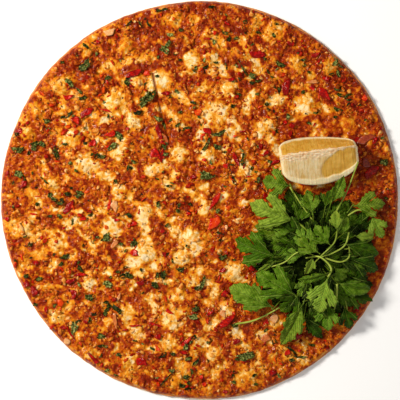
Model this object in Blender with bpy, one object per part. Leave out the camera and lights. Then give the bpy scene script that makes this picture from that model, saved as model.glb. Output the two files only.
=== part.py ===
"""A lahmacun: a thin round flatbread spread with minced meat, with a lemon wedge and a bunch of flat-leaf
parsley lying on it. Metres, +Z up. The origin is the centre of the flat underside."""

import math
import random

import bmesh
import bpy
from mathutils import Matrix, Vector, geometry, noise
from mathutils.bvhtree import BVHTree

MM = 0.001

# Driving sizes
DIAMETER = 280 * MM
DOUGH_THICKNESS = 2.4 * MM
TOPPING_THICKNESS = 2.3 * MM
GAP = 0.3 * MM
LEMON_RADIUS = 27 * MM
LEMON_HALF_LENGTH = 32.5 * MM
LEMON_TRIM = 27.5 * MM
LEAF_THICKNESS = 0.7 * MM
STEM_DIAMETER = 1.7 * MM

# The view from straight above: its width in pixels, and the eye's height over the bread
VIEW_PIXELS = 400
VIEW_CENTRE = VIEW_PIXELS / 2
VIEW_HEIGHT = 1.3

# Rim of the bread
RADIUS = DIAMETER / 2
RIM_WAVES = ((2, 0.35 * MM, 0.4), (3, 0.30 * MM, 2.1), (7, 0.20 * MM, 1.0), (13, 0.12 * MM, 3.3))
RIM_SEGMENTS = 80
RIM_LIFT = 0.9 * MM

# Section of the dough at the rim, from the flat base round to the flat top: how far in from the edge, and the
# shares of the rim's lift and of the thickness that make up its height
RIM_PROFILE = (
    (9.0 * MM, 0.0, 0.0),
    (3.0 * MM, 0.35, 0.0),
    (0.6 * MM, 1.0, 0.0),
    (0.0, 1.0, 0.45),
    (0.5 * MM, 1.0, 0.80),
    (1.6 * MM, 0.35, 1.0),
    (4.0 * MM, 0.0, 1.0),
)

# Spread of minced meat
TOPPING_INSET = 2.2 * MM
TOPPING_EDGE_WANDER = 1.1 * MM
TOPPING_EDGE_STEP = 1.6 * MM
TOPPING_EDGE_HEIGHT = 0.9 * MM
TOPPING_GRID = 6.6 * MM
CLUMP_SIZE = 9 * MM
CLUMP_HEIGHT = 1.5 * MM
CLUMP_BIAS = 0.25
CRUMB_SIZE = 2.9 * MM
CRUMB_HEIGHT = 1.0 * MM
CRUMB_PATTERN = Vector((7, 3, 1))

# The spread lies flatter under the bunch of parsley
GARNISH_BED = 5.2 * MM
GARNISH_MARGIN = 14 * MM
GARNISH_FADE = 0.25

# Puffed pale patches where the dough swells through the meat: pixel x, pixel y, radius in pixels
BLISTERS = (
    (87, 40, 9), (125, 47, 8), (59, 85, 9), (38, 111, 8), (115, 105, 14), (71, 138, 10), (83, 165, 12),
    (120, 153, 9), (134, 121, 8), (160, 82, 13), (139, 83, 8), (191, 61, 10), (179, 153, 9), (176, 20, 8),
    (119, 191, 8), (54, 184, 8), (29, 134, 7), (257, 25, 8), (272, 33, 11), (297, 65, 9), (328, 68, 9),
    (303, 106, 12), (215, 115, 15), (210, 60, 8), (229, 88, 9), (264, 128, 10), (208, 156, 8), (245, 170, 8),
    (57, 243, 11), (110, 229, 12), (144, 212, 9), (143, 252, 13), (191, 240, 14), (182, 258, 9), (88, 283, 7),
    (58, 317, 10), (128, 312, 8), (171, 318, 12), (91, 354, 8), (170, 342, 9), (130, 361, 8), (176, 381, 8),
    (27, 229, 9), (205, 209, 7), (236, 271, 11), (225, 311, 9), (276, 320, 8), (214, 353, 9), (246, 376, 12),
    (298, 375, 7), (348, 124, 7),
)
BLISTER_HEIGHT = 1.5 * MM
BLISTER_REACH = 1.3

# Chopped pieces baked into the spread: how many, and their length, width and thickness
PEPPER_PIECES = 14
PEPPER_SIZE = (8 * MM, 5.5 * MM, 2.0 * MM)
PEPPER_CURL = 0.05
HERB_PIECES = 26
HERB_SIZE = (7 * MM, 4.5 * MM, 1.1 * MM)
HERB_CURL = 0.25
MEAT_LUMPS = 30
MEAT_SIZE = (6.5 * MM, 5.5 * MM, 4.0 * MM)
PIECE_SPACING = 11 * MM
PIECE_RIM_MARGIN = 9 * MM
PIECE_LEMON_MARGIN = 8 * MM
PIECE_UNEVENNESS = 0.25
CHIP_SINK = 0.35
LUMP_SINK = 0.45

# Lemon wedge: middle of its core line, turn in plan, and how far each cut face drops below level
LEMON_CORE = (319, 150.5)
LEMON_TURN = math.radians(8.5)
LEMON_WIDE_FACE = math.radians(31)
LEMON_STEEP_FACE = math.radians(70)
LEMON_CORE_WIDTH = 2.2 * MM
LEMON_CORE_DROPS = (0.5 * MM, 1.0 * MM)
LEMON_BED_SHARE = 0.7
LEMON_BED_MARGIN = 3 * MM
LEMON_STATIONS = 15
LEMON_ARC_STEPS = 12

# Parsley leaves: base pixel, tip pixel, base height and tip height over the floor in millimetres, width as a
# share of the length, and roll about the midrib in degrees
LEAVES = (
    ((291, 186), (262, 183), 13, 10, 1.15, 0),
    ((296, 221), (248, 205), 17, 13, 0.80, 8),
    ((285, 234), (254, 227), 12, 9, 0.60, -10),
    ((277, 257), (233, 243), 15, 9, 0.78, 10),
    ((274, 308), (228, 289), 13, 9, 0.62, -8),
    ((297, 296), (256, 271), 16, 12, 0.85, 6),
    ((304, 302), (279, 345), 14, 8, 0.44, 12),
    ((328, 277), (316, 313), 27, 19, 0.85, 0),
    ((331, 272), (297, 279), 28, 24, 0.40, 45),
    ((313, 256), (306, 275), 25, 24, 0.60, 20),
    ((337, 283), (370, 292), 20, 13, 0.55, -15),
    ((343, 291), (373, 302), 13, 9, 0.30, 20),
    ((352, 206), (386, 205), 15, 12, 0.80, 10),
    ((371, 214), (384, 238), 14, 11, 0.80, -10),
    ((354, 236), (374, 238), 20, 18, 0.50, 0),
    ((361, 236), (364, 211), 11, 9, 1.05, 0),
    ((337, 231), (335, 210), 28, 27, 0.65, 15),
    ((343, 234), (349, 217), 26, 25, 0.50, 0),
    ((320, 254), (297, 238), 23, 18, 0.90, -10),
    ((331, 246), (313, 226), 22, 19, 0.85, 10),
    ((313, 215), (308, 192), 15, 12, 0.90, 0),
    ((302, 210), (290, 192), 11, 9, 0.80, 0),
    ((331, 203), (345, 176), 18, 24, 0.50, -10),
    ((325, 208), (330, 190), 14, 11, 0.80, 10),
    ((349, 258), (378, 272), 16, 11, 0.80, 0),
    ((344, 244), (380, 251), 15, 10, 0.55, -12),
    ((344, 306), (350, 329), 11, 8, 0.90, 0),
    ((304, 316), (322, 339), 9, 8, 0.50, 0),
    ((334, 267), (345, 281), 23, 18, 0.90, 10),
    ((274, 262), (256, 271), 15, 12, 0.40, 30),
)

# Half of a leaf's outline about its base, mirrored for the other half: angle off the midrib and reach
LEAF_OUTLINE = ((0, 1.00), (10, 0.84), (18, 0.66), (31, 0.93), (47, 0.70), (80, 0.34))
LEAF_MIDDLE_RING = 0.55
LEAF_DROOP = 0.10
LEAF_RIPPLE = 0.07
LEAF_CUP = 0.35
BED_PROBE = 2.5 * MM

# Parsley stems: pixel x, pixel y and height in millimetres of each point that the stem runs through
STEMS = (
    ((337, 231, 28), (334, 243, 26), (320, 257, 23), (310, 268, 14)),
    ((328, 277, 27), (331, 268, 26), (320, 257, 24), (306, 258, 16)),
    ((349, 232, 24), (345, 245, 23), (333, 253, 22), (318, 258, 20)),
    ((325, 258, 20), (340, 262, 20), (349, 257, 18), (349, 246, 14)),
    ((262, 269, 13), (283, 263, 15), (299, 252, 19), (318, 257, 20)),
    ((337, 284, 21), (336, 302, 15), (330, 322, 9)),
    ((336, 284, 15), (345, 300, 12), (348, 316, 10)),
    ((235, 324, 8), (252, 321, 8), (268, 314, 9), (296, 298, 12)),
    ((336, 212, 13), (347, 191, 18), (358, 162, 25)),
    ((296, 221, 16), (309, 233, 16), (318, 250, 15)),
    ((290, 187, 12), (301, 204, 12), (314, 222, 12)),
    ((373, 216, 13), (358, 210, 14), (340, 222, 13)),
    ((373, 238, 12), (360, 246, 12), (340, 250, 13)),
    ((303, 302, 13), (312, 296, 12), (322, 280, 12)),
)

# Middle of the bunch: a low uneven mound, as rings of (share of its half width and depth, share of its height),
# and how far a leaf's stalk reaches towards it
CORE_CENTRE = (316, 257)
CORE_HALF_WIDTH = 33 * MM
CORE_HALF_DEPTH = 38 * MM
CORE_HEIGHT = 10 * MM
CORE_RINGS = ((1.0, 0.0), (1.04, 0.35), (0.72, 0.75), (0.36, 1.0))
CORE_SEGMENTS = 16
CORE_UNEVENNESS = 0.14
CORE_LUMPS = 1.7
STALK_REACH = 0.35
STALK_ROOT_HEIGHT = 0.4 * CORE_HEIGHT
STALK_OVERLAP = 2 * MM

COLOURS = {
    "dough": ((0.80, 0.56, 0.27), 0.75),
    "topping": ((0.62, 0.20, 0.035), 0.50),
    "lemon_wedge": ((0.86, 0.62, 0.20), 0.35),
    "parsley": ((0.10, 0.22, 0.03), 0.55),
}


def clear_scene():
    for obj in list(bpy.data.objects):
        bpy.data.objects.remove(obj, do_unlink=True)


def plan(pixel_x, pixel_y, height=0.0):
    """The point at this height that the view from above shows at this pixel."""
    scale = DIAMETER / VIEW_PIXELS * (1 - height / VIEW_HEIGHT)
    return Vector(((pixel_x - VIEW_CENTRE) * scale, (VIEW_CENTRE - pixel_y) * scale, height))


def material(name):
    colour, roughness = COLOURS[name]
    made = bpy.data.materials.new(name)
    made.use_nodes = True
    shader = made.node_tree.nodes["Principled BSDF"]
    shader.inputs["Base Color"].default_value = (*colour, 1)
    shader.inputs["Roughness"].default_value = roughness
    shader.inputs["Metallic"].default_value = 0
    made.diffuse_color = (*colour, 1)
    return made


def mesh_object(name, points, faces):
    """A mesh object from points and faces, with its faces turned to point outwards."""
    mesh = bpy.data.meshes.new(name)
    mesh.from_pydata([tuple(p) for p in points], [], faces)
    tidy = bmesh.new()
    tidy.from_mesh(mesh)
    bmesh.ops.recalc_face_normals(tidy, faces=tidy.faces)
    tidy.to_mesh(mesh)
    tidy.free()
    obj = bpy.data.objects.new(name, mesh)
    bpy.context.scene.collection.objects.link(obj)
    return obj


def finish_node(obj, smooth=True):
    obj.data.materials.clear()
    obj.data.materials.append(material(obj.name))
    if smooth:
        obj.data.shade_smooth()
    return obj


def fuse(body, pieces):
    """Joins the pieces to the body with one Boolean union, and removes them."""
    group = bpy.data.collections.new(body.name + "_pieces")
    bpy.context.scene.collection.children.link(group)
    for piece in pieces:
        bpy.context.scene.collection.objects.unlink(piece)
        group.objects.link(piece)
    union = body.modifiers.new("union", "BOOLEAN")
    union.operation = "UNION"
    union.solver = "MANIFOLD"
    union.operand_type = "COLLECTION"
    union.collection = group
    graph = bpy.context.evaluated_depsgraph_get()
    joined = bpy.data.meshes.new_from_object(body.evaluated_get(graph))
    body.modifiers.clear()
    body.data = joined
    for piece in pieces:
        bpy.data.objects.remove(piece, do_unlink=True)
    bpy.data.collections.remove(group)
    keep_largest_island(body.data)


def keep_largest_island(mesh):
    """Keeps the outer surface of the largest piece: a loose scrap goes, and a sealed hollow is filled."""
    shape = bmesh.new()
    shape.from_mesh(mesh)
    left = set(shape.verts)
    islands = []
    while left:
        island = {left.pop()}
        front = list(island)
        while front:
            for edge in front.pop().link_edges:
                for vert in edge.verts:
                    if vert not in island:
                        island.add(vert)
                        front.append(vert)
        left -= island
        islands.append(island)
    largest = max(islands, key=len)
    bmesh.ops.delete(shape, geom=[v for v in shape.verts if v not in largest], context="VERTS")
    shape.to_mesh(mesh)
    shape.free()


# Bread


def rim_radius(angle):
    """The bread's radius at this angle: round, with the unevenness of hand-rolled dough."""
    return RADIUS - sum(size * (1 + math.sin(turns * angle + start)) for turns, size, start in RIM_WAVES)


def make_dough():
    """A turned shape whose edge lifts a little off the floor."""
    points = []
    for inset, lift, rise in RIM_PROFILE:
        height = RIM_LIFT * lift + DOUGH_THICKNESS * rise
        for i in range(RIM_SEGMENTS):
            angle = 2 * math.pi * i / RIM_SEGMENTS
            reach = rim_radius(angle) - inset
            points.append((reach * math.cos(angle), reach * math.sin(angle), height))
    faces = [list(range(RIM_SEGMENTS)), list(range(len(points) - RIM_SEGMENTS, len(points)))]
    for ring in range(len(RIM_PROFILE) - 1):
        for i in range(RIM_SEGMENTS):
            j = (i + 1) % RIM_SEGMENTS
            low, high = ring * RIM_SEGMENTS, (ring + 1) * RIM_SEGMENTS
            faces.append([low + i, low + j, high + j, high + i])
    return finish_node(mesh_object("dough", points, faces))


# Lemon wedge


def lemon_frame():
    """The wedge's core point, its long direction and the level direction that its wide face drops towards."""
    along = Vector((math.cos(LEMON_TURN), math.sin(LEMON_TURN), 0))
    aside = Vector((math.sin(LEMON_TURN), -math.cos(LEMON_TURN), 0))
    rest = DOUGH_THICKNESS + 2 * GAP + LEMON_BED_SHARE * TOPPING_THICKNESS
    core = plan(*LEMON_CORE, rest + LEMON_RADIUS)
    return core, along, aside


def lemon_radius(offset):
    return LEMON_RADIUS * math.sqrt(max(0.0, 1 - (offset / LEMON_HALF_LENGTH) ** 2))


def lemon_underside(x, y):
    """Height of the peel's underside over this point, or None where the wedge doesn't cover it."""
    core, along, aside = lemon_frame()
    offset = Vector((x, y, core.z)) - core
    radius = lemon_radius(offset.dot(along))
    across = offset.dot(aside)
    if abs(offset.dot(along)) > LEMON_TRIM + LEMON_BED_MARGIN or abs(across) >= radius:
        return None
    return core.z - math.sqrt(radius**2 - across**2)


def make_lemon_wedge():
    """A wedge with its peel down: stations along its core line, each a crest and an arc of peel."""
    core, along, aside = lemon_frame()
    first, last = -LEMON_WIDE_FACE, LEMON_STEEP_FACE - math.pi
    up = Vector((0, 0, 1))
    edge = aside * (LEMON_CORE_WIDTH / 2)
    wide_drop, steep_drop = LEMON_CORE_DROPS
    sections = []
    for s in range(LEMON_STATIONS):
        offset = LEMON_TRIM * (2 * s / (LEMON_STATIONS - 1) - 1)
        radius = lemon_radius(offset)
        middle = core + along * offset
        section = [middle + edge - up * wide_drop, middle, middle - edge - up * steep_drop]
        for a in range(LEMON_ARC_STEPS + 1):
            angle = last + (first - last) * a / LEMON_ARC_STEPS
            section.append(middle + aside * radius * math.cos(angle) + up * radius * math.sin(angle))
        sections.append(section)
    count = len(sections[0])
    points = [p for section in sections for p in section]
    faces = [list(range(count)), list(range(len(points) - count, len(points)))]
    for s in range(LEMON_STATIONS - 1):
        for i in range(count):
            j = (i + 1) % count
            faces.append([s * count + i, s * count + j, (s + 1) * count + j, (s + 1) * count + i])
    return finish_node(mesh_object("lemon_wedge", points, faces))


# Spread of minced meat


def under_parsley(x, y):
    """1 under the middle of the bunch, fading to 0 around it."""
    centre = plan(*CORE_CENTRE)
    across = (x - centre.x) / (CORE_HALF_WIDTH + GARNISH_MARGIN)
    along = (y - centre.y) / (CORE_HALF_DEPTH + GARNISH_MARGIN)
    return min(1.0, max(0.0, (1 + GARNISH_FADE - math.hypot(across, along)) / GARNISH_FADE))


def topping_height(x, y):
    """Top of the spread: clumps of mince, with smooth domes where the dough has blistered."""
    height = DOUGH_THICKNESS + GAP + TOPPING_THICKNESS
    place = Vector((x, y, 0))
    height += CLUMP_HEIGHT * (noise.noise(place / CLUMP_SIZE) + CLUMP_BIAS)
    height += CRUMB_HEIGHT * noise.noise(place / CRUMB_SIZE + CRUMB_PATTERN)
    for pixel_x, pixel_y, radius in BLISTERS:
        centre = plan(pixel_x, pixel_y)
        reach = math.hypot(x - centre.x, y - centre.y) / (radius * DIAMETER / VIEW_PIXELS)
        if reach < BLISTER_REACH:
            height += BLISTER_HEIGHT * (math.cos(math.pi * reach / BLISTER_REACH) + 1) / 2
    bed = under_parsley(x, y)
    height = height * (1 - bed) + min(height, GARNISH_BED) * bed
    peel = lemon_underside(x, y)
    if peel is not None:
        height = min(height, peel - 2 * GAP)
    return height


def topping_outline(angle, inset):
    wander = noise.noise(Vector((math.cos(angle), math.sin(angle), 0)) * 9)
    return rim_radius(angle) - inset - TOPPING_EDGE_WANDER * wander


def topping_points():
    """Plan points of the spread: a triangular lattice inside, and two rings at the edge."""
    rings = []
    for inset in (TOPPING_INSET, TOPPING_INSET + TOPPING_EDGE_STEP):
        ring = []
        for i in range(RIM_SEGMENTS):
            angle = 2 * math.pi * (i + 0.5) / RIM_SEGMENTS
            reach = topping_outline(angle, inset)
            ring.append(Vector((reach * math.cos(angle), reach * math.sin(angle))))
        rings += ring
    inner = RADIUS - TOPPING_INSET - TOPPING_EDGE_STEP - TOPPING_GRID
    row_step = TOPPING_GRID * math.sqrt(3) / 2
    rows = int(RADIUS / row_step) + 1
    lattice = []
    for row in range(-rows, rows + 1):
        shift = 0.5 * (row % 2)
        for column in range(-rows, rows + 1):
            spot = Vector(((column + shift) * TOPPING_GRID, row * row_step))
            if spot.length < inner:
                lattice.append(spot)
    return rings + lattice


def make_topping_layer():
    spots = topping_points()
    edge = [(i, (i + 1) % RIM_SEGMENTS) for i in range(RIM_SEGMENTS)]
    flat, _, triangles = geometry.delaunay_2d_cdt(spots, edge, [], 1, 1e-6)[:3]
    bottom = DOUGH_THICKNESS + GAP
    on_edge = [i < RIM_SEGMENTS for i in range(len(flat))]
    points = []
    for spot, outer in zip(flat, on_edge):
        height = bottom + TOPPING_EDGE_HEIGHT if outer else topping_height(spot.x, spot.y)
        points.append((spot.x, spot.y, height))
    points += [(spot.x, spot.y, bottom) for spot in flat]
    count = len(flat)
    faces = [list(t) for t in triangles]
    faces += [[i + count for i in reversed(t)] for t in triangles]
    faces += [[i, j, j + count, i + count] for i, j in edge]
    return mesh_object("topping", points, faces)


def piece_spots(draw, count, taken):
    """Evenly spread spots, clear of the rim, of the garnish and of each other."""
    found = []
    core, along, aside = lemon_frame()
    while len(found) < count:
        reach = (RADIUS - PIECE_RIM_MARGIN) * math.sqrt(draw.random())
        angle = draw.random() * 2 * math.pi
        spot = Vector((reach * math.cos(angle), reach * math.sin(angle)))
        offset = Vector((spot.x, spot.y, core.z)) - core
        by_end = abs(offset.dot(along)) < LEMON_TRIM + PIECE_LEMON_MARGIN
        by_side = abs(offset.dot(aside)) < LEMON_RADIUS + PIECE_LEMON_MARGIN
        if by_end and by_side or under_parsley(*spot) > 0:
            continue
        if all((spot - other).length > PIECE_SPACING for other in taken):
            found.append(spot)
            taken.append(spot)
    return found


def lump(draw, spot, size):
    """A rounded irregular lump of meat, half sunk into the spread."""
    shape = bmesh.new()
    bmesh.ops.create_icosphere(shape, subdivisions=1, radius=0.5)
    turn = draw.random() * math.pi
    for v in shape.verts:
        v.co *= 1 + PIECE_UNEVENNESS * (draw.random() - 0.5)
        x, y, z = v.co.x * size[0], v.co.y * size[1], v.co.z * size[2]
        v.co = (x * math.cos(turn) - y * math.sin(turn), x * math.sin(turn) + y * math.cos(turn), z)
    mesh = bpy.data.meshes.new("lump")
    shape.to_mesh(mesh)
    shape.free()
    obj = bpy.data.objects.new("lump", mesh)
    bpy.context.scene.collection.objects.link(obj)
    mesh.transform(Matrix.Translation((spot.x, spot.y, seat_height(spot, size[2], LUMP_SINK))))
    return obj


def seat_height(spot, thickness, sink):
    """Height for the middle of a piece sunk by this share, kept clear of the dough below."""
    lowest = DOUGH_THICKNESS + 2 * GAP + 0.6 * thickness
    return max(lowest, topping_height(*spot) + thickness * (0.5 - sink))


def chip(draw, spot, size, corners, curl):
    """A flat piece with uneven corners, its middle sunk into the spread and its ends curled up."""
    turn = draw.random() * math.pi
    points = []
    for side in (-0.5, 0.5):
        for i in range(corners):
            angle = 2 * math.pi * (i + 0.5) / corners + PIECE_UNEVENNESS * (draw.random() - 0.5)
            reach = 0.5 * (1 + PIECE_UNEVENNESS * (draw.random() - 0.5))
            x, y = reach * size[0] * math.cos(angle), reach * size[1] * math.sin(angle)
            z = side * size[2] + curl * (x / size[0]) ** 2 * size[0]
            points.append((x * math.cos(turn) - y * math.sin(turn), x * math.sin(turn) + y * math.cos(turn), z))
    faces = [list(range(corners)), list(range(corners, 2 * corners))]
    faces += [[i, (i + 1) % corners, (i + 1) % corners + corners, i + corners] for i in range(corners)]
    obj = mesh_object("chip", points, faces)
    obj.data.transform(Matrix.Translation((spot.x, spot.y, seat_height(spot, size[2], CHIP_SINK))))
    return obj


def make_topping():
    topping = make_topping_layer()
    draw = random.Random(7)
    taken = []
    pieces = [chip(draw, spot, PEPPER_SIZE, 4, PEPPER_CURL) for spot in piece_spots(draw, PEPPER_PIECES, taken)]
    pieces += [chip(draw, spot, HERB_SIZE, 5, HERB_CURL) for spot in piece_spots(draw, HERB_PIECES, taken)]
    for spot in piece_spots(draw, MEAT_LUMPS, taken):
        scale = 0.75 + 0.45 * draw.random()
        pieces.append(lump(draw, spot, [scale * side for side in MEAT_SIZE]))
    fuse(topping, pieces)
    return finish_node(topping)


# Parsley


def bed_under(topping):
    """A function that gives the least height at which a leaf clears the spread around a point."""
    tree = BVHTree.FromPolygons([v.co for v in topping.data.vertices], [p.vertices for p in topping.data.polygons])
    steps = (0, -BED_PROBE, BED_PROBE)

    def bed(x, y):
        heights = [DOUGH_THICKNESS + RIM_LIFT]
        for dx in steps:
            for dy in steps:
                hit = tree.ray_cast(Vector((x + dx, y + dy, LEMON_RADIUS)), Vector((0, 0, -1)))[0]
                if hit is not None:
                    heights.append(hit.z)
        return max(heights) + 2 * GAP

    return bed


def leaf_solid(base, tip, width, roll, bed):
    """A thin wavy leaf: a fan of lobes about its base, with both faces split into triangles alike."""
    midrib = tip - base
    length = midrib.length
    forward = midrib.normalized()
    level = forward.cross(Vector((0, 0, 1))).normalized()
    side = math.cos(roll) * level + math.sin(roll) * level.cross(forward)
    face = side.cross(forward).normalized()
    outline = [(-angle, reach) for angle, reach in reversed(LEAF_OUTLINE[1:])] + list(LEAF_OUTLINE)
    widest = max(reach * math.sin(math.radians(angle)) for angle, reach in LEAF_OUTLINE)
    rings = [[(0.0, 0.0)]]
    for share in (LEAF_MIDDLE_RING, 1.0):
        ring = []
        for angle, reach in outline:
            turn = math.radians(angle)
            ring.append((share * reach * math.cos(turn), share * reach * math.sin(turn) * width / (2 * widest)))
        rings.append(ring)
    sheet = []
    for ring in rings:
        for n, (u, v) in enumerate(ring):
            wave = LEAF_RIPPLE * u * math.cos(n * math.pi / 2)
            rise = LEAF_DROOP * 4 * u * (1 - u) - LEAF_CUP * v * v + wave
            spot = base + length * (forward * u + side * v + face * rise)
            spot.z = max(spot.z, bed(spot.x, spot.y) + LEAF_THICKNESS / 2)
            sheet.append(spot)
    half = face * (LEAF_THICKNESS / 2)
    points = [p + half for p in sheet] + [p - half for p in sheet]
    count = len(outline)
    triangles = [(0, 1 + i, 2 + i) for i in range(count - 1)]
    for i in range(count - 1):
        a, b, c, d = 1 + i, 2 + i, 1 + count + i, 2 + count + i
        triangles += [(a, c, d), (a, d, b)]
    border = [0] + [1, 1 + count] + [2 + count + i for i in range(count - 1)] + [count]
    total = len(sheet)
    faces = [list(t) for t in triangles]
    faces += [[i + total for i in reversed(t)] for t in triangles]
    for i, j in zip(border, border[1:] + border[:1]):
        faces += [[i, j, j + total], [i, j + total, i + total]]
    return mesh_object("leaf", points, faces)


def smooth_route(points):
    """The points with one more between each two, on a smooth curve through them all."""
    route = [points[0]]
    for i in range(len(points) - 1):
        before, after = points[max(i - 1, 0)], points[min(i + 2, len(points) - 1)]
        start, end = points[i], points[i + 1]
        bend = (end - before) / 6, (after - start) / 6
        route += geometry.interpolate_bezier(start, start + bend[0], end - bend[1], end, 3)[1:]
    return route


def stem_solid(route, diameter, sides):
    """A stem with a few flat sides along the route."""
    corners = []
    for i, spot in enumerate(route):
        forward = (route[min(i + 1, len(route) - 1)] - route[max(i - 1, 0)]).normalized()
        level = forward.cross(Vector((0, 0, 1))).normalized()
        rise = level.cross(forward)
        for k in range(sides):
            turn = 2 * math.pi * k / sides
            corners.append(spot + (level * math.cos(turn) + rise * math.sin(turn)) * diameter / 2)
    faces = [list(range(sides)), list(range(len(corners) - sides, len(corners)))]
    for i in range(len(route) - 1):
        for k in range(sides):
            a, b = sides * i + k, sides * i + (k + 1) % sides
            faces.append([a, b, b + sides, a + sides])
    return mesh_object("stem", corners, faces)


def make_parsley_core():
    """A low uneven mound that the leaves and stems lie over."""
    centre = plan(*CORE_CENTRE)
    floor = GARNISH_BED + 2 * GAP
    around = CORE_SEGMENTS
    points = []
    for share, rise in CORE_RINGS:
        for i in range(around):
            angle = 2 * math.pi * i / around
            outward = Vector((math.cos(angle), math.sin(angle), rise))
            uneven = 1 + CORE_UNEVENNESS * noise.noise(outward * CORE_LUMPS)
            x = centre.x + CORE_HALF_WIDTH * share * uneven * outward.x
            y = centre.y + CORE_HALF_DEPTH * share * uneven * outward.y
            points.append((x, y, floor + CORE_HEIGHT * rise * uneven))
    faces = [list(range(around)), list(range(len(points) - around, len(points)))]
    for ring in range(len(CORE_RINGS) - 1):
        for i in range(around):
            a, b = ring * around + i, ring * around + (i + 1) % around
            faces.append([a, b, b + around, a + around])
    return mesh_object("parsley", points, faces)


def make_parsley(topping):
    parsley = make_parsley_core()
    bed = bed_under(topping)
    heart = plan(*CORE_CENTRE, GARNISH_BED + STALK_ROOT_HEIGHT)
    pieces = []
    for base, tip, base_height, tip_height, width, roll in LEAVES:
        start = plan(*base, base_height * MM)
        end = plan(*tip, tip_height * MM)
        pieces.append(leaf_solid(start, end, width, math.radians(roll), bed))
        overlap = (end - start).normalized() * STALK_OVERLAP
        root = start.lerp(heart, STALK_REACH)
        root.z = heart.z
        pieces.append(stem_solid([start + overlap, root], STEM_DIAMETER, 3))
    for stem in STEMS:
        route = smooth_route([plan(x, y, height * MM) for x, y, height in stem])
        for spot in route:
            spot.z = max(spot.z, bed(spot.x, spot.y) + STEM_DIAMETER / 2)
        pieces.append(stem_solid(route, STEM_DIAMETER, 4))
    fuse(parsley, pieces)
    return finish_node(parsley, smooth=False)


def main():
    clear_scene()
    make_dough()
    topping = make_topping()
    make_lemon_wedge()
    make_parsley(topping)


main()
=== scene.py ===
"""The looks of a lahmacun: fine surfaces, crumbs, herbs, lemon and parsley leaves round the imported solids.
Metres, +Z up, in the solids' own frame. Many places are given as pixels of the 400-pixel view from above."""

import math
import random

import bmesh
import bpy
import numpy as np
from mathutils import Euler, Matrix, Vector, geometry, noise
from mathutils.bvhtree import BVHTree

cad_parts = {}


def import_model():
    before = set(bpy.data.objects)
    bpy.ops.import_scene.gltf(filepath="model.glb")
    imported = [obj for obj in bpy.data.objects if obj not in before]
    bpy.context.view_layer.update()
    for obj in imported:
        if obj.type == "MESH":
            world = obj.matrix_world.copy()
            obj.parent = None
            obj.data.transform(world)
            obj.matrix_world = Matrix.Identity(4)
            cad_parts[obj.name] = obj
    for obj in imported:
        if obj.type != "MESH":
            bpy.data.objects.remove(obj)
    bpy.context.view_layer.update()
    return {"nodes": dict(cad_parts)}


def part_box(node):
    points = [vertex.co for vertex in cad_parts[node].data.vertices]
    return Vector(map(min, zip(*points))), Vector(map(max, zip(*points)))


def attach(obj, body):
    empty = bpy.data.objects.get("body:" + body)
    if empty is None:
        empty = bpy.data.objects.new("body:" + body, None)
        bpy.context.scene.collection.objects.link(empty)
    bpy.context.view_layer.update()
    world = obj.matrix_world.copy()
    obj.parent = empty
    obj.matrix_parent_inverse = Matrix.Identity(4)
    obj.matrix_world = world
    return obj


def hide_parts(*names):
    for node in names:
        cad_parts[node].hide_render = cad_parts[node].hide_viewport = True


MM = 0.001

# Main sizes. The lemon's upper face twists a little, and its ends are trimmed slightly shorter than the
# solid's
DIAMETER = 280 * MM
RADIUS = DIAMETER / 2
DOUGH_THICKNESS = 2.4 * MM
TOPPING_THICKNESS = 2.3 * MM
GAP = 0.3 * MM
LEMON_RADIUS = 27 * MM
LEMON_HALF_LENGTH = 33.5 * MM
LEMON_TRIM = 26.6 * MM
LEMON_CORE = (319, 150.5)
LEMON_TURN = math.radians(8.5)
LEMON_WIDE_FACE = math.radians(31)
LEMON_STEEP_FACE = math.radians(67.5)
LEMON_TWIST = math.radians(7.5)
STEM_DIAMETER = 1.7 * MM

# Lemon: sections along it, steps across a cut face and round the peel, how far the flesh sinks below the
# pith, and how the edges of its ends are rounded
LEMON_STATIONS = 160
LEMON_FACE_STEPS = 60
LEMON_PEEL_STEPS = 72
FLESH_SINK = 0.4 * MM
LEMON_END_ROUND = 3.4 * MM
LEMON_END_SHARE = 0.20
LEMON_END_RINGS = (0.97, 0.93, 0.86, 0.80, 0.6, 0.4, 0.2)

# The view from straight above
VIEW_PIXELS = 400
VIEW_CENTRE = VIEW_PIXELS / 2
VIEW_HEIGHT = 1.3
SENSOR = 36
PIXEL = DIAMETER / VIEW_PIXELS
FLOOR_HALF = 4.0

# Shader noise mostly stays this near to a half, and rays that feel a height start this high
NOISE_SPREAD = 0.14
ABOVE_ALL = 0.2

# Bread: points round its rim, rings on its underside, how far the rim lifts, and its edge from the underside
# round to the top, as (inset in millimetres, share of the rim's lift, share of the thickness)
RIM_POINTS = 720
UNDERSIDE_RINGS = 14
RIM_LIFT = 0.9 * MM
BREAD_EDGE = (
    (9, 0, 0), (6, 0.06, 0), (3, 0.35, 0), (1.5, 0.7, 0), (0.6, 1, 0), (0.2, 1, 0.2), (0, 1, 0.45),
    (0.2, 1, 0.66), (0.5, 1, 0.80), (1.6, 0.35, 1), (2.6, 0.1, 1), (4, 0, 1), (9, 0, 1),
)

# Spread: the fine surface over the solid topping
SPREAD_CELLS = 306
SPREAD_INSET = 0.9 * MM
SPREAD_EDGE_WANDER = 0.9 * MM
SPREAD_EDGE_HEIGHT = 0.9 * MM
SPREAD_EDGE_ROUND = 2.2 * MM
CLUMP_SIZE = 9 * MM
CLUMP_HEIGHT = 1.5 * MM
CLUMP_BIAS = 0.25
GARNISH_BED = 5.2 * MM
GARNISH_CENTRE = (316, 257)
GARNISH_HALF_WIDTH = 47 * MM
GARNISH_HALF_DEPTH = 52 * MM
GARNISH_FADE = 0.25

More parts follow.
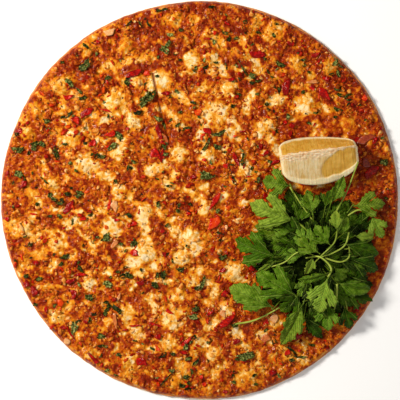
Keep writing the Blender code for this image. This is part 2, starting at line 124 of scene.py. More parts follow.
# Puffed pale patches where the dough swells through the meat: pixel x, pixel y, radius in pixels
BLISTERS = (
    (87, 40, 9), (125, 47, 8), (59, 85, 9), (38, 111, 8), (115, 105, 14), (71, 138, 10), (83, 165, 12),
    (120, 153, 9), (134, 121, 8), (160, 82, 13), (139, 83, 8), (191, 61, 10), (179, 153, 9), (176, 20, 8),
    (119, 191, 8), (54, 184, 8), (29, 134, 7), (257, 25, 8), (272, 33, 11), (297, 65, 9), (328, 68, 9),
    (303, 106, 12), (215, 115, 15), (210, 60, 8), (229, 88, 9), (264, 128, 10), (208, 156, 8),
    (245, 170, 8), (57, 243, 11), (110, 229, 12), (144, 212, 9), (143, 252, 13), (191, 240, 14),
    (182, 258, 9), (88, 283, 7), (58, 317, 10), (128, 312, 8), (171, 318, 12), (91, 354, 8),
    (170, 342, 9), (130, 361, 8), (176, 381, 8), (27, 229, 9), (205, 209, 7), (236, 271, 11),
    (225, 311, 9), (276, 320, 8), (214, 353, 9), (246, 376, 12), (298, 375, 7), (348, 124, 7),
)
BLISTER_HEIGHT = 1.5 * MM
BLISTER_REACH = 1.3

# Flat pale streaks between them: pixel x and y of both ends, and half the width in pixels
PALE_STREAKS = (
    (103, 34, 111, 26, 4), (214, 36, 220, 44, 6), (249, 56, 262, 72, 5), (218, 64, 227, 78, 4),
    (200, 90, 207, 85, 5), (180, 95, 192, 106, 5), (268, 104, 285, 95, 4), (252, 92, 246, 112, 4),
    (228, 132, 237, 138, 5), (268, 136, 277, 152, 4), (231, 119, 241, 129, 3), (148, 172, 165, 164, 5),
    (97, 168, 110, 178, 5), (184, 189, 207, 206, 5), (127, 192, 133, 199, 4), (84, 56, 91, 50, 3),
    (100, 72, 111, 62, 4), (58, 101, 76, 94, 4), (14, 122, 22, 116, 4), (145, 222, 147, 242, 6),
    (131, 260, 140, 271, 6), (148, 247, 153, 258, 5), (191, 284, 199, 270, 6), (171, 299, 179, 290, 4),
    (36, 257, 46, 250, 5), (8, 226, 38, 238, 6), (50, 270, 55, 262, 4), (62, 310, 70, 302, 4),
    (47, 325, 57, 317, 4), (157, 206, 165, 214, 5), (170, 222, 175, 232, 5), (199, 337, 207, 350, 4),
    (236, 330, 246, 349, 5), (262, 334, 269, 341, 5), (256, 354, 263, 368, 4), (215, 374, 224, 364, 5),
    (180, 362, 184, 373, 6), (123, 376, 131, 368, 4), (296, 353, 304, 361, 4), (282, 347, 288, 357, 4),
    (130, 326, 140, 334, 6), (101, 329, 108, 321, 4), (150, 268, 160, 262, 4), (88, 236, 96, 250, 4),
    (205, 126, 198, 140, 4), (163, 108, 176, 118, 4), (240, 40, 246, 50, 4), (140, 60, 150, 54, 4),
    (120, 66, 128, 60, 4), (312, 76, 306, 86, 4), (362, 130, 368, 142, 4), (30, 190, 40, 204, 4),
    (208, 330, 216, 322, 4), (150, 300, 156, 309, 4), (26, 262, 20, 274, 4), (215, 290, 208, 300, 4),
    (100, 210, 112, 204, 4), (168, 184, 176, 172, 5), (76, 220, 66, 228, 4),
)

# A knife has marked the spread along this line
CREASE = ((153, 74), (155.6, 87), (160.7, 110), (164.5, 125), (168.4, 139))
CREASE_WIDTH = 1.3 * MM
CREASE_DEPTH = 1.6 * MM

# Crumbs: how far apart they lie where the meat is thick, and the least and greatest size of each kind
MINCE_SPACING = 3.6 * MM
MINCE_SIZES = 2.2 * MM, 5.0 * MM
CRUMB_SPACING = 2.1 * MM
CRUMB_SIZES = 1.3 * MM, 2.8 * MM
LUMP_SPACING = 4.2 * MM
LUMP_SIZES = 2.2 * MM, 5.2 * MM
GRIT_SPACING = 2.6 * MM
GRIT_SIZES = 0.8 * MM, 1.6 * MM
CRUMB_MARGIN = 2.2 * MM
CRUMB_KINDS = 32
LUMP_CHIPS = 5

# Soft clumps in the spread itself: a fine grid that holds the topmost clump's height and tone at each place
CLUMP_CELL = 0.4 * MM
CLUMP_SPACING = 2.9 * MM
CLUMP_WIDTHS = 2.6 * MM, 6.5 * MM
CLUMP_RISES = 0.5 * MM, 1.5 * MM

# Colours of the meat: the oil's shine and coat, the painted shade in crevices and at the foot of each crumb,
# and each kind's colours from dark to pale
OILY = 0.18
OIL_SHINE = (1.0, 0.72, 0.28)
OIL_COAT = 0.08
OIL_COAT_ROUGHNESS = 0.12
CREVICE_SHADE = (116, 28, 2)
MINCE_TONES = ((0.0, (92, 16, 2)), (0.2, (142, 46, 3)), (0.4, (182, 86, 12)), (0.6, (204, 118, 34)),
               (0.8, (220, 146, 60)), (1.0, (236, 182, 112)))
RED_TONES = ((0.0, (84, 2, 1)), (0.35, (138, 8, 2)), (0.65, (182, 30, 3)), (1.0, (216, 84, 8)))
LUMP_TONES = ((0.0, (200, 98, 10)), (0.3, (218, 134, 28)), (0.6, (230, 174, 88)), (1.0, (242, 208, 150)))

# Specks of ground black pepper
PEPPER_SPECKS = 260
SPECK_KINDS = 8
SPECK_SIZES = 0.6 * MM, 1.5 * MM
SPECK_LIFTS = 0.3 * MM, 1.3 * MM

# Chopped pieces, each by its middle pixel, length and width in pixels and turn in degrees. Red pepper and
# tomato also have a redness from 0 (orange) to 1
PEPPER = (
    (258, 54, 12, 7, -15, 0.95), (232, 80, 7, 4, 0, 0.9), (292, 43, 7, 6, 30, 1.0),
    (285, 87, 20, 8, 68, 1.0), (215, 33, 6, 4, 90, 0.6), (315, 56, 8, 6, 20, 0.95),
    (317, 63, 8, 3, 50, 0.9), (323, 91, 18, 7, -52, 0.9), (312, 88, 5, 4, 60, 0.85),
    (326, 79, 6, 4, 0, 0.9), (314, 125, 5, 2, 60, 0.9), (368, 97, 6, 5, 50, 0.5),
    (134, 74, 12, 5, 25, 0.95), (147, 73, 5, 4, 0, 0.5), (166, 93, 9, 5, -5, 0.95),
    (98, 42, 4, 3, 0, 0.9), (67, 97, 9, 5, 0, 0.75), (84, 114, 14, 7, 40, 0.95), (77, 119, 9, 7, 10, 0.8),
    (28, 123, 4, 4, 0, 0.9), (17, 130, 7, 6, 80, 0.95), (93, 144, 7, 5, 60, 0.8),
    (24, 184, 7, 5, 30, 1.0), (5, 172, 6, 3, 80, 1.0), (87, 192, 6, 3, 0, 0.4), (65, 130, 6, 3, 0, 0.9),
    (57, 120, 4, 3, 70, 0.9), (111, 134, 12, 6, 15, 0.7), (159, 132, 17, 6, 100, 1.0),
    (154, 153, 9, 8, 0, 0.8), (161, 156, 10, 3, 80, 0.9), (106, 147, 6, 3, 0, 0.7),
    (105, 110, 9, 2, -10, 0.8), (198, 112, 6, 5, 0, 0.35), (193, 177, 7, 4, 20, 1.0),
    (127, 129, 4, 3, 0, 0.8), (207, 131, 8, 5, 0, 0.85), (235, 136, 5, 3, 0, 0.45),
    (266, 153, 8, 6, 20, 0.95), (236, 159, 13, 4, -70, 0.95), (226, 166, 5, 4, 0, 0.8),
    (292, 126, 8, 7, 0, 0.95), (285, 123, 5, 4, 0, 0.8), (290, 134, 5, 4, 60, 0.9),
    (275, 162, 10, 4, 25, 0.9), (265, 196, 8, 5, -60, 0.95), (215, 201, 15, 5, 57, 0.75),
    (260, 146, 8, 4, 90, 1.0), (204, 160, 6, 3, 0, 0.7), (69, 208, 16, 7, 50, 1.0),
    (64, 228, 4, 3, 0, 0.85), (36, 263, 6, 4, 0, 0.95), (80, 275, 10, 3, 10, 0.9),
    (71, 281, 8, 5, 0, 0.95), (7, 219, 5, 4, 0, 0.8), (83, 219, 5, 4, 0, 0.7), (30, 294, 14, 8, -60, 1.0),
    (24, 285, 8, 5, -70, 1.0), (142, 283, 8, 5, 0, 1.0), (135, 223, 8, 6, 0, 0.75),
    (135, 253, 7, 6, 0, 0.8), (109, 206, 10, 3, 85, 0.6), (119, 262, 5, 4, 0, 0.95),
    (163, 231, 5, 4, 0, 0.9), (164, 254, 6, 4, 0, 0.9), (188, 213, 5, 4, 0, 0.85),
    (117, 220, 5, 4, 0, 0.8), (214, 222, 18, 8, 45, 0.5), (223, 270, 7, 5, 30, 0.95),
    (251, 268, 6, 5, 0, 0.8), (225, 293, 7, 5, 80, 0.9), (62, 328, 6, 5, 0, 0.9),
    (67, 339, 21, 2.5, -58, 0.95), (85, 322, 5, 4, 0, 0.95), (91, 364, 11, 4, -40, 0.95),
    (60, 302, 6, 6, 0, 0.45), (74, 294, 8, 6, 90, 0.95), (46, 309, 6, 4, 60, 0.9),
    (135, 326, 11, 2.5, 5, 0.85), (157, 325, 24, 3, -8, 0.8), (169, 312, 7, 4, -30, 0.75),
    (209, 314, 9, 5, 15, 0.9), (159, 337, 6, 4, 0, 0.95), (141, 361, 14, 11, -20, 0.9),
    (185, 343, 11, 3, 40, 0.8), (183, 353, 8, 3, 10, 0.95), (202, 377, 5, 3, -60, 0.7),
    (205, 384, 4, 4, 0, 0.6), (158, 348, 12, 4, -45, 0.4), (227, 321, 14, 6, 40, 0.85),
    (236, 342, 8, 6, 0, 0.95), (266, 322, 6, 4, 80, 0.9), (287, 353, 6, 5, 40, 0.8),
    (281, 364, 8, 3, -25, 0.6), (272, 372, 8, 5, 0, 1.0), (226, 393, 7, 4, 0, 0.95),
    (299, 351, 4, 4, 0, 0.8), (293, 337, 14, 7, 10, 1.0), (357, 306, 13, 9, 80, 1.0),
    (337, 319, 9, 6, 0, 1.0), (375, 140, 12, 5, 40, 1.0), (357, 140, 6, 5, 80, 0.95),
    (370, 172, 15, 6, 40, 0.95), (347, 193, 8, 5, 0, 1.0),
)

# Translucent onion, with a paleness from 0 to 1. For the two pieces by the lemon's right end it is set low to
# paint the lemon's shadow on them as well as their own colour
ONION = (
    (110, 31, 12, 7, 35, 0.95), (114, 205, 10, 6, 90, 0.85), (114, 244, 13, 4, 50, 0.65),
    (115, 321, 15, 4, -80, 0.6), (118, 298, 8, 3, 60, 0.75), (173, 166, 10, 4, -50, 0.45),
    (366, 162, 10, 8, 10, 0.05), (366, 139, 13, 6, 20, 0.2), (265, 338, 9, 9, 50, 0.5),
    (275, 318, 11, 9, -30, 0.9), (226, 227, 4, 4, 0, 0.85), (313, 82, 9, 3, 5, 0.75),
    (151, 320, 5, 4, 0, 0.6), (65, 342, 6, 5, -60, 0.95), (223, 313, 7, 6, 90, 0.85),
    (165, 137, 13, 3, -60, 0.4),
)

# Their usual height in the view, how far they stay from the spread's edge, how high they sit, and how much
# larger and thicker than its row a chip is made
CHOPPED_HEIGHT = 6 * MM
CHOPPED_MARGIN = 2 * MM
PEPPER_LIFT = 0.45 * MM
ONION_LIFT = 0.1 * MM
CHIP_GROWTH = 1.2
CHIP_THICKNESS = 1.5 * MM

# Small bits strewn at random stay this far from the bread's edge
SCATTER_MARGIN = 6 * MM

# Thin red shreds
RED_SHREDS = 50
SHRED_LIFT = 0.35 * MM
SHRED_LENGTHS = 2.6 * MM, 6.5 * MM
SHRED_WIDTHS = 0.9 * MM, 1.9 * MM

# Chopped herbs baked dark
HERBS = (
    (86, 46, 8, 3, -40), (86, 66, 13, 8, 50), (82, 69, 6, 4, -20), (62, 62, 4, 3, 0),
    (70, 83, 11, 5, -50), (79, 91, 7, 3, -45), (83, 98, 8, 4, 10), (158, 10, 5, 4, 0), (164, 7, 6, 3, 10),
    (129, 24, 8, 2, 45), (140, 24, 7, 2, -60), (148, 24, 7, 2, -60), (181, 30, 5, 4, 0),
    (170, 35, 6, 4, 0), (168, 44, 7, 4, 50), (165, 50, 9, 7, -40), (158, 57, 4, 3, 80),
    (175, 54, 3, 3, 0), (180, 60, 3, 3, 0), (194, 71, 4, 2, -50), (108, 78, 6, 4, 20),
    (127, 83, 7, 5, -50), (157, 76, 4, 3, 0), (148, 98, 17, 8, 35), (143, 104, 7, 5, 40),
    (169, 97, 5, 2, -10), (212, 4, 7, 3, -5), (206, 67, 6, 3, 30), (204, 71, 5, 2, -60),
    (225, 33, 5, 4, 0), (229, 39, 5, 4, 60), (236, 38, 5, 3, 20), (245, 22, 4, 4, 0), (276, 24, 4, 3, 0),
    (259, 33, 6, 3, -30), (265, 59, 3, 3, 0), (280, 65, 9, 5, -30), (243, 69, 18, 1.6, -60),
    (252, 76, 7, 6, -40), (252, 83, 5, 4, 0), (258, 81, 6, 3, 10), (238, 96, 6, 5, 45),
    (257, 94, 4, 3, 0), (268, 72, 5, 2, -60), (272, 77, 4, 2, -20), (279, 90, 7, 3, 85),
    (303, 60, 5, 3, 0), (304, 65, 4, 3, -40), (309, 72, 3, 3, 0), (303, 92, 4, 4, 0), (338, 60, 8, 6, 70),
    (344, 63, 6, 2, -40), (331, 74, 5, 2, 20), (338, 74, 7, 4, -70), (341, 88, 4, 3, 80),
    (337, 90, 6, 2, -10), (340, 95, 7, 4, -10), (348, 95, 8, 3, 25), (348, 100, 6, 2, 0),
    (338, 110, 10, 4, -20), (316, 113, 6, 2, 15), (335, 117, 4, 3, 0), (366, 120, 4, 3, 0),
    (309, 123, 4, 3, 0), (47, 121, 5, 5, 0), (48, 129, 4, 3, 0), (13, 133, 4, 4, 0), (67, 116, 13, 4, 30),
    (35, 144, 8, 6, 20), (42, 144, 7, 5, -40), (34, 149, 5, 4, 0), (65, 144, 5, 3, 10),
    (18, 150, 11, 6, 0), (29, 153, 4, 3, 80), (55, 150, 6, 4, -60), (57, 156, 8, 5, -65),
    (70, 163, 4, 4, 0), (76, 171, 4, 3, -30), (19, 174, 8, 7, -40), (23, 176, 11, 1.6, -58),
    (97, 156, 6, 5, 60), (71, 188, 3, 3, 0), (68, 194, 6, 5, 0), (78, 194, 9, 8, 0), (50, 195, 5, 4, 60),
    (54, 199, 6, 4, -10), (45, 181, 12, 2, -42), (138, 113, 8, 4, 10), (158, 119, 9, 5, -20),
    (164, 125, 8, 3, -60), (119, 136, 10, 7, -40), (112, 147, 10, 5, 40), (102, 157, 6, 4, 0),
    (178, 125, 6, 3, 30), (185, 129, 11, 3, 15), (165, 146, 7, 5, 80), (165, 154, 6, 4, 0),
    (128, 168, 6, 3, 80), (169, 186, 6, 3, 0), (115, 182, 5, 4, 60), (193, 103, 6, 3, -20),
    (180, 112, 4, 3, 15), (233, 106, 4, 4, 0), (267, 104, 4, 4, 0), (288, 117, 6, 4, 80),
    (207, 144, 14, 4, 65), (219, 134, 14, 4, 20), (217, 147, 7, 5, -20), (225, 152, 4, 3, 0),
    (277, 131, 4, 3, 80), (243, 158, 10, 3, 70), (243, 164, 4, 4, 0), (206, 176, 12, 9, -20),
    (234, 181, 9, 4, -60), (258, 180, 7, 4, 80), (270, 162, 5, 4, 0), (37, 204, 4, 4, 0),
    (50, 216, 4, 3, 0), (91, 215, 6, 3, 0), (60, 203, 9, 5, 10), (24, 237, 7, 2, 15), (30, 244, 5, 4, 60),
    (72, 222, 6, 3, 80), (97, 237, 4, 3, 0), (12, 263, 5, 3, 90), (65, 257, 9, 4, 20),
    (61, 264, 5, 4, 30), (80, 269, 8, 4, -60), (39, 279, 7, 4, 30), (26, 276, 5, 4, 30),
    (90, 297, 10, 7, 0), (158, 204, 6, 4, 80), (179, 205, 5, 3, 60), (178, 211, 4, 4, 0),
    (190, 204, 4, 3, 0), (129, 215, 7, 4, -30), (167, 225, 5, 3, 50), (106, 238, 9, 8, 50),
    (121, 244, 5, 3, 0), (134, 243, 7, 6, -50), (125, 251, 5, 2, 50), (118, 272, 4, 3, 0),
    (123, 276, 6, 5, 20), (129, 276, 8, 6, -30), (108, 284, 9, 7, -30), (157, 276, 7, 4, 80),
    (163, 275, 8, 6, 80), (155, 285, 8, 5, -40), (181, 270, 7, 5, 20), (197, 288, 6, 4, 20),
    (218, 211, 5, 4, 60), (219, 233, 5, 3, 0), (221, 240, 4, 3, 0), (223, 257, 8, 5, 20),
    (234, 260, 4, 2, 0), (203, 283, 15, 4, 70), (106, 302, 5, 3, 0), (109, 306, 5, 4, 0),
    (117, 309, 11, 6, -35), (106, 312, 8, 5, 60), (90, 320, 5, 3, 80), (34, 305, 4, 4, 0),
    (74, 328, 14, 7, 80), (101, 337, 8, 5, 0), (100, 346, 5, 3, 0), (105, 346, 6, 3, -10),
    (117, 354, 8, 4, -5), (106, 372, 5, 3, 30), (114, 379, 5, 2, -20), (195, 309, 7, 6, 20),
    (194, 317, 9, 6, 20), (194, 337, 5, 4, 20), (191, 342, 5, 2, 40), (186, 347, 6, 5, 60),
    (135, 341, 4, 2, 0), (152, 349, 5, 3, -35), (163, 355, 8, 4, 40), (173, 354, 5, 3, 0),
    (188, 359, 7, 4, 15), (196, 362, 9, 3, 45), (172, 371, 6, 4, 10), (166, 379, 17, 1.6, 48),
    (186, 377, 6, 5, 0), (182, 386, 6, 4, -20), (188, 389, 6, 4, -10), (192, 373, 8, 3, 90),
    (209, 341, 6, 3, 50), (235, 325, 7, 5, 10), (274, 342, 6, 4, 80), (246, 356, 16, 9, 15),
    (237, 359, 5, 3, 0), (234, 382, 4, 4, 0), (233, 374, 7, 2, 80), (292, 350, 13, 3, -40),
    (298, 357, 9, 2, -5), (292, 360, 5, 4, 0), (279, 376, 5, 3, -50), (256, 384, 4, 3, 0),
    (312, 345, 6, 3, 0), (303, 357, 6, 3, 0), (382, 138, 4, 3, 0), (384, 162, 8, 6, -20),
    (387, 189, 4, 2, 0), (386, 198, 4, 3, 0),
)
HERB_SLIMNESS = 0.9
HERB_LIFT = 0.55 * MM
FINE_HERBS = 110
FINE_HERB_LENGTHS = 1.6 * MM, 3.6 * MM
FINE_HERB_LIFT = 0.5 * MM

# Parsley leaves: base pixel, tip pixel, base height and tip height over the floor in millimetres, width as a
# share of the length, roll about the midrib in degrees, lightness from 0 to 1 and yellowness from 0 to 1. The
# lightness paints light and shade as well as each leaf's own tone: low leaves are darker, high ones lighter
LEAVES = (
    ((291, 186), (262, 183), 13, 10, 1.15, 0, 0.62, 0.40),
    ((296, 221), (248, 205), 17, 13, 0.80, 8, 0.80, 0.55),
    ((285, 234), (254, 227), 12, 9, 0.60, -10, 0.55, 0.75),
    ((277, 257), (233, 243), 15, 9, 0.78, 10, 0.45, 0.12),
    ((274, 308), (228, 289), 13, 9, 0.62, -8, 0.66, 0.35),
    ((297, 296), (256, 271), 16, 12, 0.85, 6, 0.52, 0.20),
    ((304, 302), (279, 345), 14, 8, 0.44, 12, 0.66, 0.55),
    ((328, 277), (316, 313), 27, 19, 0.85, 0, 0.90, 0.30),
    ((331, 272), (297, 279), 28, 24, 0.40, 45, 0.55, 0.25),
    ((313, 256), (306, 275), 25, 24, 0.60, 20, 0.95, 0.45),
    ((337, 283), (370, 292), 20, 13, 0.55, -15, 0.55, 0.25),
    ((343, 291), (373, 302), 13, 9, 0.30, 20, 0.35, 0.15),
    ((352, 206), (386, 205), 15, 12, 0.80, 10, 0.62, 0.60),
    ((371, 214), (384, 238), 14, 11, 0.80, -10, 0.80, 0.40),
    ((354, 236), (374, 238), 20, 18, 0.50, 0, 0.75, 0.55),
    ((361, 236), (364, 211), 11, 9, 1.05, 0, 0.20, 0.00),
    ((337, 231), (335, 210), 28, 27, 0.65, 15, 0.85, 0.50),
    ((343, 234), (349, 217), 26, 25, 0.50, 0, 0.70, 0.30),
    ((320, 254), (297, 238), 23, 18, 0.90, -10, 0.64, 0.35),
    ((331, 246), (313, 226), 22, 19, 0.85, 10, 0.58, 0.25),
    ((313, 215), (308, 192), 15, 12, 0.90, 0, 0.60, 0.35),
    ((302, 210), (290, 192), 11, 9, 0.80, 0, 0.25, 0.05),
    ((331, 203), (345, 176), 18, 24, 0.50, -10, 0.65, 0.30),
    ((325, 208), (330, 190), 14, 11, 0.80, 10, 0.45, 0.25),
    ((349, 258), (378, 272), 16, 11, 0.80, 0, 0.22, 0.00),
    ((344, 244), (380, 251), 15, 10, 0.55, -12, 0.35, 0.10),
    ((344, 306), (350, 329), 11, 8, 0.90, 0, 0.25, 0.00),
    ((304, 316), (322, 339), 9, 8, 0.50, 0, 0.22, 0.00),
    ((334, 267), (345, 281), 23, 18, 0.90, 10, 0.60, 0.35),
    ((274, 262), (256, 271), 15, 12, 0.40, 30, 0.85, 0.50),
)

# Halves of a leaf's toothed outline: share of the length along the midrib, and share of the half width across
DEEP_LEAF = (
    (0.00, 0.00), (0.12, 0.07), (0.24, 0.28), (0.30, 0.60), (0.37, 0.60), (0.38, 0.84), (0.46, 0.80),
    (0.50, 1.00), (0.57, 0.88), (0.68, 0.93), (0.66, 0.72), (0.72, 0.60), (0.62, 0.47), (0.53, 0.31),
    (0.49, 0.20), (0.57, 0.26), (0.64, 0.44), (0.70, 0.38), (0.77, 0.48), (0.81, 0.34), (0.89, 0.32),
    (0.91, 0.16), (1.00, 0.00),
)
BROAD_LEAF = (
    (0.00, 0.00), (0.12, 0.09), (0.26, 0.46), (0.29, 0.74), (0.37, 0.70), (0.39, 0.95), (0.47, 0.84),
    (0.53, 1.00), (0.58, 0.80), (0.57, 0.62), (0.66, 0.70), (0.70, 0.80), (0.75, 0.60), (0.81, 0.60),
    (0.85, 0.40), (0.91, 0.33), (0.94, 0.15), (1.00, 0.00),
)
DEEP_LEAF_WIDTH = 0.7
LEAF_THICKNESS = 0.35 * MM
LEAF_GRID = 0.075
LEAF_DROOP = 0.10
LEAF_CUP = 0.35
LEAF_WAVE = 0.075
LEAF_GROOVE = 0.030
LEAF_CLEARANCE = 0.6 * MM

# Leaves laid at random below those: how many in each layer, and their lengths in millimetres
UNDER_LEAVES = 64
MIDDLE_LEAVES = 40
RANDOM_LEAF_LENGTHS = 15, 23
GOLDEN_ANGLE = 2.39996

# Parsley stems: pixel x, pixel y and height in millimetres of each point that the stem runs through
STEMS = (
    ((337, 231, 28), (334, 243, 26), (320, 257, 23), (310, 268, 14)),
    ((328, 277, 27), (331, 268, 26), (320, 257, 24), (306, 258, 16)),
    ((349, 232, 24), (345, 245, 23), (333, 253, 22), (318, 258, 20)),
    ((325, 258, 20), (340, 262, 20), (349, 257, 18), (349, 246, 14)),
    ((262, 269, 13), (283, 263, 15), (299, 252, 19), (318, 257, 20)),
    ((337, 284, 21), (336, 302, 15), (330, 322, 9)),
    ((336, 284, 15), (345, 300, 12), (348, 316, 10)),
    ((235, 324, 8), (252, 321, 8), (268, 314, 9), (296, 298, 12)),
    ((336, 212, 13), (347, 191, 18), (358, 162, 25)),
    ((296, 221, 16), (309, 233, 16), (318, 250, 15)),
    ((290, 187, 12), (301, 204, 12), (314, 222, 12)),
    ((373, 216, 13), (358, 210, 14), (340, 222, 13)),
    ((373, 238, 12), (360, 246, 12), (340, 250, 13)),
    ((303, 302, 13), (312, 296, 12), (322, 280, 12)),
)
STALK_DIAMETER = 0.8 * MM
STEM_TAPER = 0.75
STEM_SIDES = 10
CORE_HALF_WIDTH = 33 * MM
CORE_HALF_DEPTH = 38 * MM
CORE_HEIGHT = 9 * MM


# Helpers for places and shapes


def plan(pixel_x, pixel_y, height=0.0):
    """The point at this height that the view from above shows at this pixel."""
    scale = PIXEL * (1 - height / VIEW_HEIGHT)
    return Vector(((pixel_x - VIEW_CENTRE) * scale, (VIEW_CENTRE - pixel_y) * scale, height))


def wander(x, y, size, pattern):
    """Smooth noise from about -1 to 1 at each place, with features of this size."""
    return np.array([noise.noise((a / size + pattern, b / size - pattern, pattern)) for a, b in zip(x, y)])


def ease(value, low, high):
    """0 below low and 1 above high, with a smooth step between them."""
    share = np.clip((value - low) / (high - low), 0, 1)
    return share * share * (3 - 2 * share)


def linear(red, green, blue):
    """A colour given in 0 to 255, as a shader takes it."""
    return tuple((c / 12.92 if c <= 0.04045 else ((c + 0.055) / 1.055) ** 2.4) for c in
                 (red / 255, green / 255, blue / 255)) + (1.0,)


def surface_tree(mesh):
    """The mesh's faces, ready for rays to meet them."""
    return BVHTree.FromPolygons([v.co for v in mesh.vertices], [p.vertices for p in mesh.polygons])


def lattice(spacing, jitter, draw):
    """Places a loose spacing apart all over the spread."""
    row_step = spacing * math.sqrt(3) / 2
    rows = int(RADIUS / row_step) + 1
    spots = []
    for row in range(-rows, rows + 1):
        for column in range(-rows, rows + 1):
            x = (column + 0.5 * (row % 2) + draw.uniform(-jitter, jitter)) * spacing
            y = (row + draw.uniform(-jitter, jitter)) * row_step
            if math.hypot(x, y) < RADIUS - SPREAD_INSET - CRUMB_MARGIN:
                spots.append((x, y))
    return np.array(spots).T


class Batch:
    """Points, faces and per-point values of many small shapes that become one piece."""

    def __init__(self):
        self.points, self.faces, self.values, self.count = [], [], {}, 0

    def add(self, points, faces, **values):
        points = np.asarray(points, float)
        self.points.append(points)
        self.faces += [[i + self.count for i in face] for face in faces]
        self.count += len(points)
        for name, value in values.items():
            self.values.setdefault(name, []).append(np.broadcast_to(np.asarray(value, float), len(points)))

    def piece(self, name, look, slot, turn_out=False):
        """Makes the piece. turn_out turns every face outward, for shapes whose faces run either way."""
        mesh = bpy.data.meshes.new(name)
        mesh.from_pydata(np.concatenate(self.points), [], self.faces)
        if turn_out:
            shape = bmesh.new()
            shape.from_mesh(mesh)
            bmesh.ops.recalc_face_normals(shape, faces=shape.faces)
            shape.to_mesh(mesh)
            shape.free()
        for value_name, parts in self.values.items():
            layer = mesh.attributes.new(value_name, "FLOAT", "POINT")
            layer.data.foreach_set("value", np.concatenate(parts).astype(np.float32))
        mesh.materials.append(look.material)
        mesh.shade_smooth()
        obj = bpy.data.objects.new(name, mesh)
        bpy.context.scene.collection.objects.link(obj)
        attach(obj, "root")
        return obj


class Look:
    """A material under construction: each method adds a node and gives its output."""

    def __init__(self, name, roughness=0.5, specular=0.5, shine=(1.0, 1.0, 1.0)):
        self.material = bpy.data.materials.new(name)
        self.material.use_nodes = True
        self.tree = self.material.node_tree
        self.shader = self.tree.nodes["Principled BSDF"]
        self.set("Roughness", roughness)
        self.set("Specular IOR Level", specular)
        self.set("Specular Tint", shine + (1.0,))
        self.place = self.tree.nodes.new("ShaderNodeTexCoord").outputs["Object"]

    def feed(self, socket, value):
        if isinstance(value, bpy.types.NodeSocket):
            self.tree.links.new(value, socket)
        else:
            socket.default_value = value

    def set(self, socket, value):
        self.feed(self.shader.inputs[socket], value)

    def node(self, kind, inputs, **settings):
        made = self.tree.nodes.new("ShaderNode" + kind)
        for name, value in settings.items():
            setattr(made, name, value)
        for name, value in inputs.items():
            self.feed(made.inputs[name], value)
        return made

    def stretched(self, scale, turn=0.0):
        """The place, scaled on each axis after a turn about the vertical."""
        inputs = {"Vector": self.place, "Scale": scale, "Rotation": (0, 0, turn)}
        return self.node("Mapping", inputs).outputs[0]

    def noise(self, size, detail=3, rough=0.6, place=None, warp=0.0):
        inputs = {"Vector": place or self.place, "Scale": 1 / size, "Detail": detail, "Roughness": rough,
                  "Distortion": warp}
        return self.node("TexNoise", inputs).outputs[0]

    def cells(self, size, place=None):
        """Distance from the middle of each cell, and a random tone for each cell."""
        made = self.node("TexVoronoi", {"Vector": place or self.place, "Scale": 1 / size})
        return made.outputs["Distance"], made.outputs["Color"]

    def warped(self, size, reach):
        """The place, pushed about by noise, so that patterns on it come out irregular."""
        push = self.node("TexNoise", {"Vector": self.place, "Scale": 1 / size, "Detail": 2}).outputs["Color"]
        inputs = {0: push, 1: (2 * reach,) * 3, 2: self.place}
        return self.node("VectorMath", inputs, operation="MULTIPLY_ADD").outputs[0]

    def value(self, name):
        return self.node("Attribute", {}, attribute_name=name).outputs["Fac"]

    def calc(self, operation, a, b=0.0):
        return self.node("Math", {0: a, 1: b}, operation=operation).outputs[0]

    def span(self, value, low, high, start=0.0, end=1.0):
        """Takes the value from low..high to start..end, held at the ends."""
        inputs = {"Value": value, "From Min": low, "From Max": high, "To Min": start, "To Max": end}
        return self.node("MapRange", inputs).outputs[0]

    def ramp(self, value, stops):
        made = self.node("ValToRGB", {"Fac": value})
        band = made.color_ramp
        while len(band.elements) < len(stops):
            band.elements.new(1.0)
        for element, (position, colour) in zip(band.elements, stops):
            element.position = position
            element.color = linear(*colour)
        return made.outputs["Color"]

    def mix(self, share, first, second, blend="MIX"):
        made = self.node("Mix", {0: share}, data_type="RGBA", blend_type=blend)
        for socket, colour in ((made.inputs[6], first), (made.inputs[7], second)):
            self.feed(socket, linear(*colour) if isinstance(colour, tuple) else colour)
        return made.outputs[2]

    def bump(self, height, depth, strength=1.0):
        return self.node("Bump", {"Height": height, "Distance": depth, "Strength": strength}).outputs[0]

    def own_tone(self, size, reach, detail=3, rough=0.6, spread=NOISE_SPREAD):
        """The shape's own tone, mottled by noise of this size by up to this reach."""
        mottling = self.span(self.noise(size, detail, rough), 0.5 - spread, 0.5 + spread, -reach, reach)
        return self.calc("ADD", self.value("tone"), mottling)

    def glaze(self):
        """A thin oily coat."""
        self.set("Coat Weight", OIL_COAT)
        self.set("Coat Roughness", OIL_COAT_ROUGHNESS)


# Bread


def rim_radii(dough, count):
    """The bread's radius at evenly spaced angles, felt from outside at the height of its rim."""
    tree = surface_tree(dough.data)
    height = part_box("dough")[1].z * 0.65
    radii = []
    for i in range(count):
        angle = 2 * math.pi * i / count
        outward = Vector((math.cos(angle), math.sin(angle), 0))
        hit = tree.ray_cast(outward * 2 * RADIUS + Vector((0, 0, height)), -outward)[0]
        radii.append(Vector((hit.x, hit.y)).length)
    return np.array(radii)


